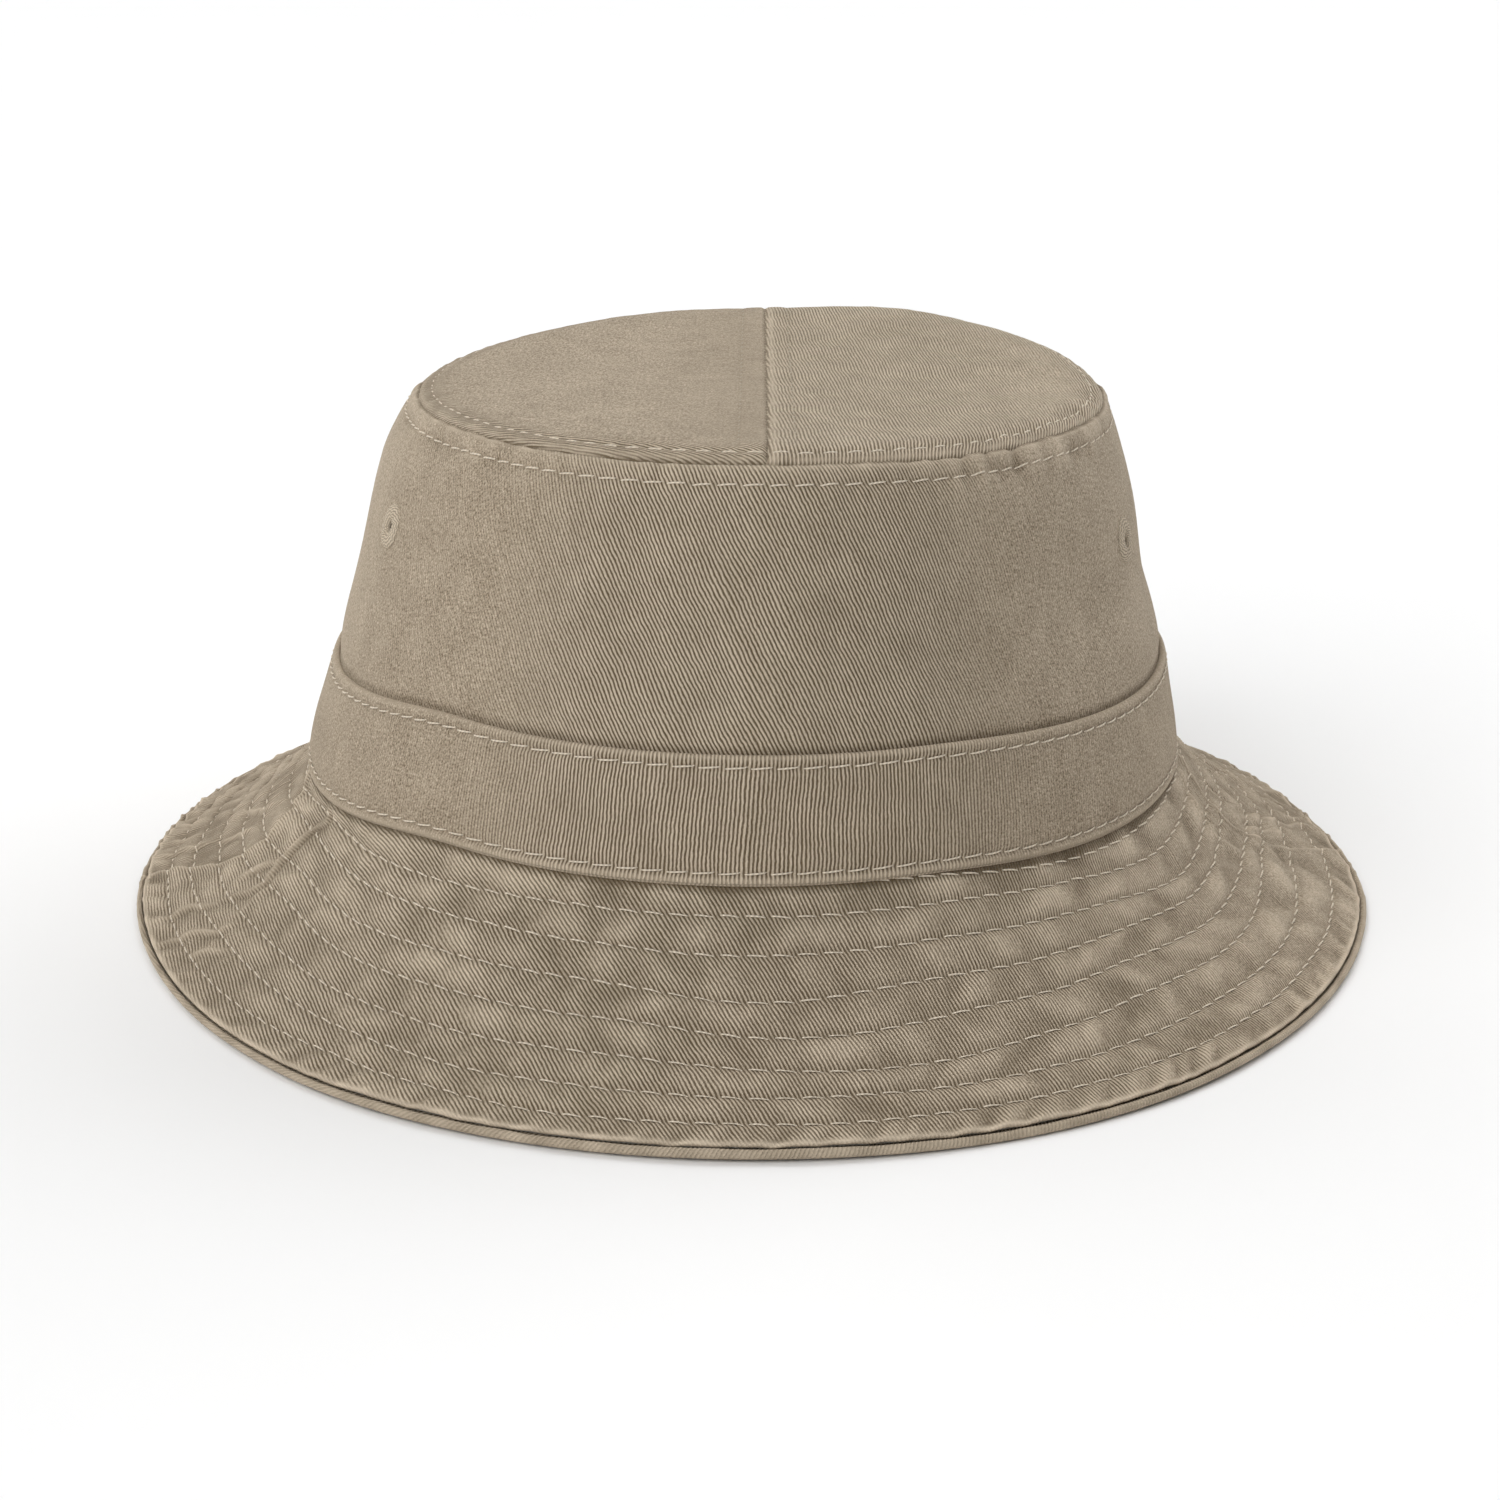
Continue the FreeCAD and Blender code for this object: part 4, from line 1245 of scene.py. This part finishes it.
def label(kind):
    """A blank ribbon label hanging inside the back by its sewn top edge, and the bar that holds it."""
    _, width, length = LABELS[kind]
    low, high = (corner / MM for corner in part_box(kind))
    near = math.hypot((low.x + high.x) / 2, (low.y + high.y) / 2 - END_Y)

    # The folded tab and bar tack that hold the label to the sweatband.
    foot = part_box(kind + "_stitch")[0].z / MM
    band = END_RADIUS + float(crown_section(27.0, 2.5)[0])
    u, t = np.meshgrid(np.linspace(-0.5, 0.5, 40) * (width - 0.6), np.linspace(0, 1, 6), indexing="ij")
    out = near - 0.12 + (band + 0.6 - near) * t
    ridge = 0.16 * np.sin(u * TAU / 0.9) + 0 * t
    edges = ((0.15, -0.3), (1.45, 1))
    below, above = (label_place(kind, u, out, foot + lift + ridge * part) for lift, part in edges)
    flat_strip(kind + "_bar", above, below, "thread", THREAD_DULL, (width * 2, 6), kind + "_stitch")

    across, down = np.meshgrid(np.linspace(-0.5, 0.5, 24), np.linspace(0, 1, 20), indexing="ij")
    wave = 0.10 * np.sin(across * 5 + 0.6) * down ** 2 - 0.05 * np.cos(across * 9) * down
    z = high.z - 0.05 - down * (length - 0.3)
    middle = near + wave * 0.8
    face, back = (label_place(kind, across * (width - 0.4), middle + depth, z) for depth in (-0.11, 0.11))
    ribbon = flat_strip(
        kind + "_ribbon", face, back, "label_cloth", RIBBON, (width, length), kind, body=kind + "_flap")
    kind + "_bar"


# ---------------------------------------------------------------- making the hat

for half in HALVES:
    for ply in PLIES:
        brim_half(ply, half)
    crown_half(half)
for direction in (-1, 1):
    tip_half(direction)

profile, band_rows = band_profile()
strip_ring("band", profile, crown_point, TWILL_BAND, "twill", "hatband", d=0.0, row_at=band_rows)
for row, s, seed in (("lower", band_rows[0], 31), ("upper", band_rows[1], 33)):
    crown_threads("band_threads_" + row, s, -BAND_THICK + 0.1, -1, seed, "hatband_stitch_" + row)
crown_threads("crown_threads", CROWN_STITCH, 0.0, -1, 35, "crown_topstitch")
tip_threads()
for place in EYELETS:
    eyelet(place)

brim_threads("brim_threads_seam", seam_row, 0.0, 3, "brim_seam_stitch")
for i, place in enumerate(ROWS):
    number, offset = str(i + 1), float(brim_section(place, 0)[0])
    brim_threads(
        "brim_threads_" + number, lambda theta: brim_row(i, theta), offset, 5 + i, "brim_stitch_" + number)

# The sweatband, folded over its stiffener, from the back of the fold to its face.
SWEATBAND = ([(s, 2.45) for s in np.linspace(0.6, 27.4, 24)]
             + [(27.8, 2.35), (28.0, 2.0), (28.0, 1.5), (27.8, 1.15)]
             + [(s, 1.05) for s in np.linspace(27.4, 0.6, 24)])
strip_ring("sweatband_cloth", SWEATBAND, lambda theta, s, n: crown_point(theta, s, n, 0.4),
           LINING, "lining_cloth", "sweatband", "sweatband_stiffener", d=-3.0)
for row, s, seed in (("lower", 2.0, 51), ("upper", 25.0, 53)):
    crown_threads("sweatband_threads_" + row, s, 2.45, 1, seed, "sweatband_stitch_" + row, THREAD_DULL)

whole_way = np.linspace(-math.pi, math.pi, 361)
crown_tape("crown_tape", whole_way, CROWN_TOP - 10, CROWN_TOP - 0.6, "crown_seam_tape")
for name, middle in (("left", math.pi), ("right", 0.0)):
    crown_tape("side_tape_" + name, np.linspace(middle - 0.042, middle + 0.042, 8), 29, CROWN_TOP - 11,
               "side_seam_tape_" + name)
tip_tape()
for kind in LABELS:
    label(kind)

# ---------------------------------------------------------------- floor, light and camera


def stage(name, verts, faces, material):
    """A part of the studio."""
    mesh = bpy.data.meshes.new(name)
    mesh.from_pydata(verts, [], faces)
    mesh.materials.append(material)
    obj = bpy.data.objects.new(name, mesh)
    bpy.context.scene.collection.objects.link(obj)
    return obj


def stage_floor(size=12.0):
    sh = Shader("studio_floor")
    x, y = sh.plane(sh.node("ShaderNodeNewGeometry").outputs["Position"])
    cloud = sh.noise(3.0 * x, 3.0 * y, 2.0)
    shader = sh.node("ShaderNodeBsdfPrincipled", Roughness=0.9, Specular_IOR_Level=0.1,
                     Base_Color=sh.shade((0.965, 0.965, 0.965), 0.003 * cloud + 1.0))
    corners = [(-size, -size, 0), (size, -size, 0), (size, size, 0), (-size, size, 0)]
    stage("floor", corners, [(0, 1, 2, 3)], sh.show(shader))


def stage_backdrop(radius=11.5, height=11.0):
    """A pale wall far round the floor that only the camera sees."""
    sh = Shader("studio_wall")
    shader = sh.node("ShaderNodeEmission", Color=(1.0, 1.0, 1.0, 1), Strength=1.0)
    n = 96
    angles = np.linspace(0, TAU, n + 1)[:-1]
    verts = [(radius * math.cos(a), radius * math.sin(a), z) for z in (-0.1, height) for a in angles]
    faces = [(i, (i + 1) % n, n + (i + 1) % n, n + i) for i in range(n)]
    wall = stage("backdrop", verts, faces, sh.show(shader))
    wall.visible_diffuse = wall.visible_glossy = wall.visible_shadow = False


def sun(name, power, azimuth, elevation):
    """A soft sun; azimuth is where it stands, 0 in front and -90 at the left."""
    light = bpy.data.lights.new(name, "SUN")
    light.energy = power
    light.angle = math.radians(50)
    obj = bpy.data.objects.new(name, light)
    a, e = math.radians(azimuth), math.radians(elevation)
    towards = Vector((math.sin(a) * math.cos(e), -math.cos(a) * math.cos(e), math.sin(e)))
    obj.rotation_euler = towards.to_track_quat("Z", "Y").to_euler()
    bpy.context.scene.collection.objects.link(obj)


stage_floor()
stage_backdrop()
sun("left_front", 1.67, -45, 40)
sun("top_back", 0.69, 180, 60)
sun("left_back", 0.54, -130, 35)
sun("right_back", 1.19, 130, 35)
scene = bpy.context.scene
scene.world = bpy.data.worlds.new("studio")
scene.world.use_nodes = True
sky = scene.world.node_tree.nodes["Background"]
sky.inputs["Color"].default_value = (1, 1, 1, 1)
sky.inputs["Strength"].default_value = 0.21
scene.view_settings.view_transform = "Standard"

VIEW_RANGE = 0.550
VIEW_RISE, VIEW_TILT, VIEW_ROLL = math.radians(16.34), math.radians(17.17), math.radians(0.5)
lens = bpy.data.cameras.new("camera")
lens.lens, lens.sensor_width = 63.36, 36.0
camera = bpy.data.objects.new("camera", lens)
camera.location = (0, -VIEW_RANGE * math.cos(VIEW_RISE), ROOT_Z * MM + VIEW_RANGE * math.sin(VIEW_RISE))
tilted = Matrix.Rotation(math.pi / 2 - VIEW_TILT, 4, "X") @ Matrix.Rotation(VIEW_ROLL, 4, "Z")
camera.rotation_euler = tilted.to_euler()
scene.collection.objects.link(camera)
scene.camera = camera
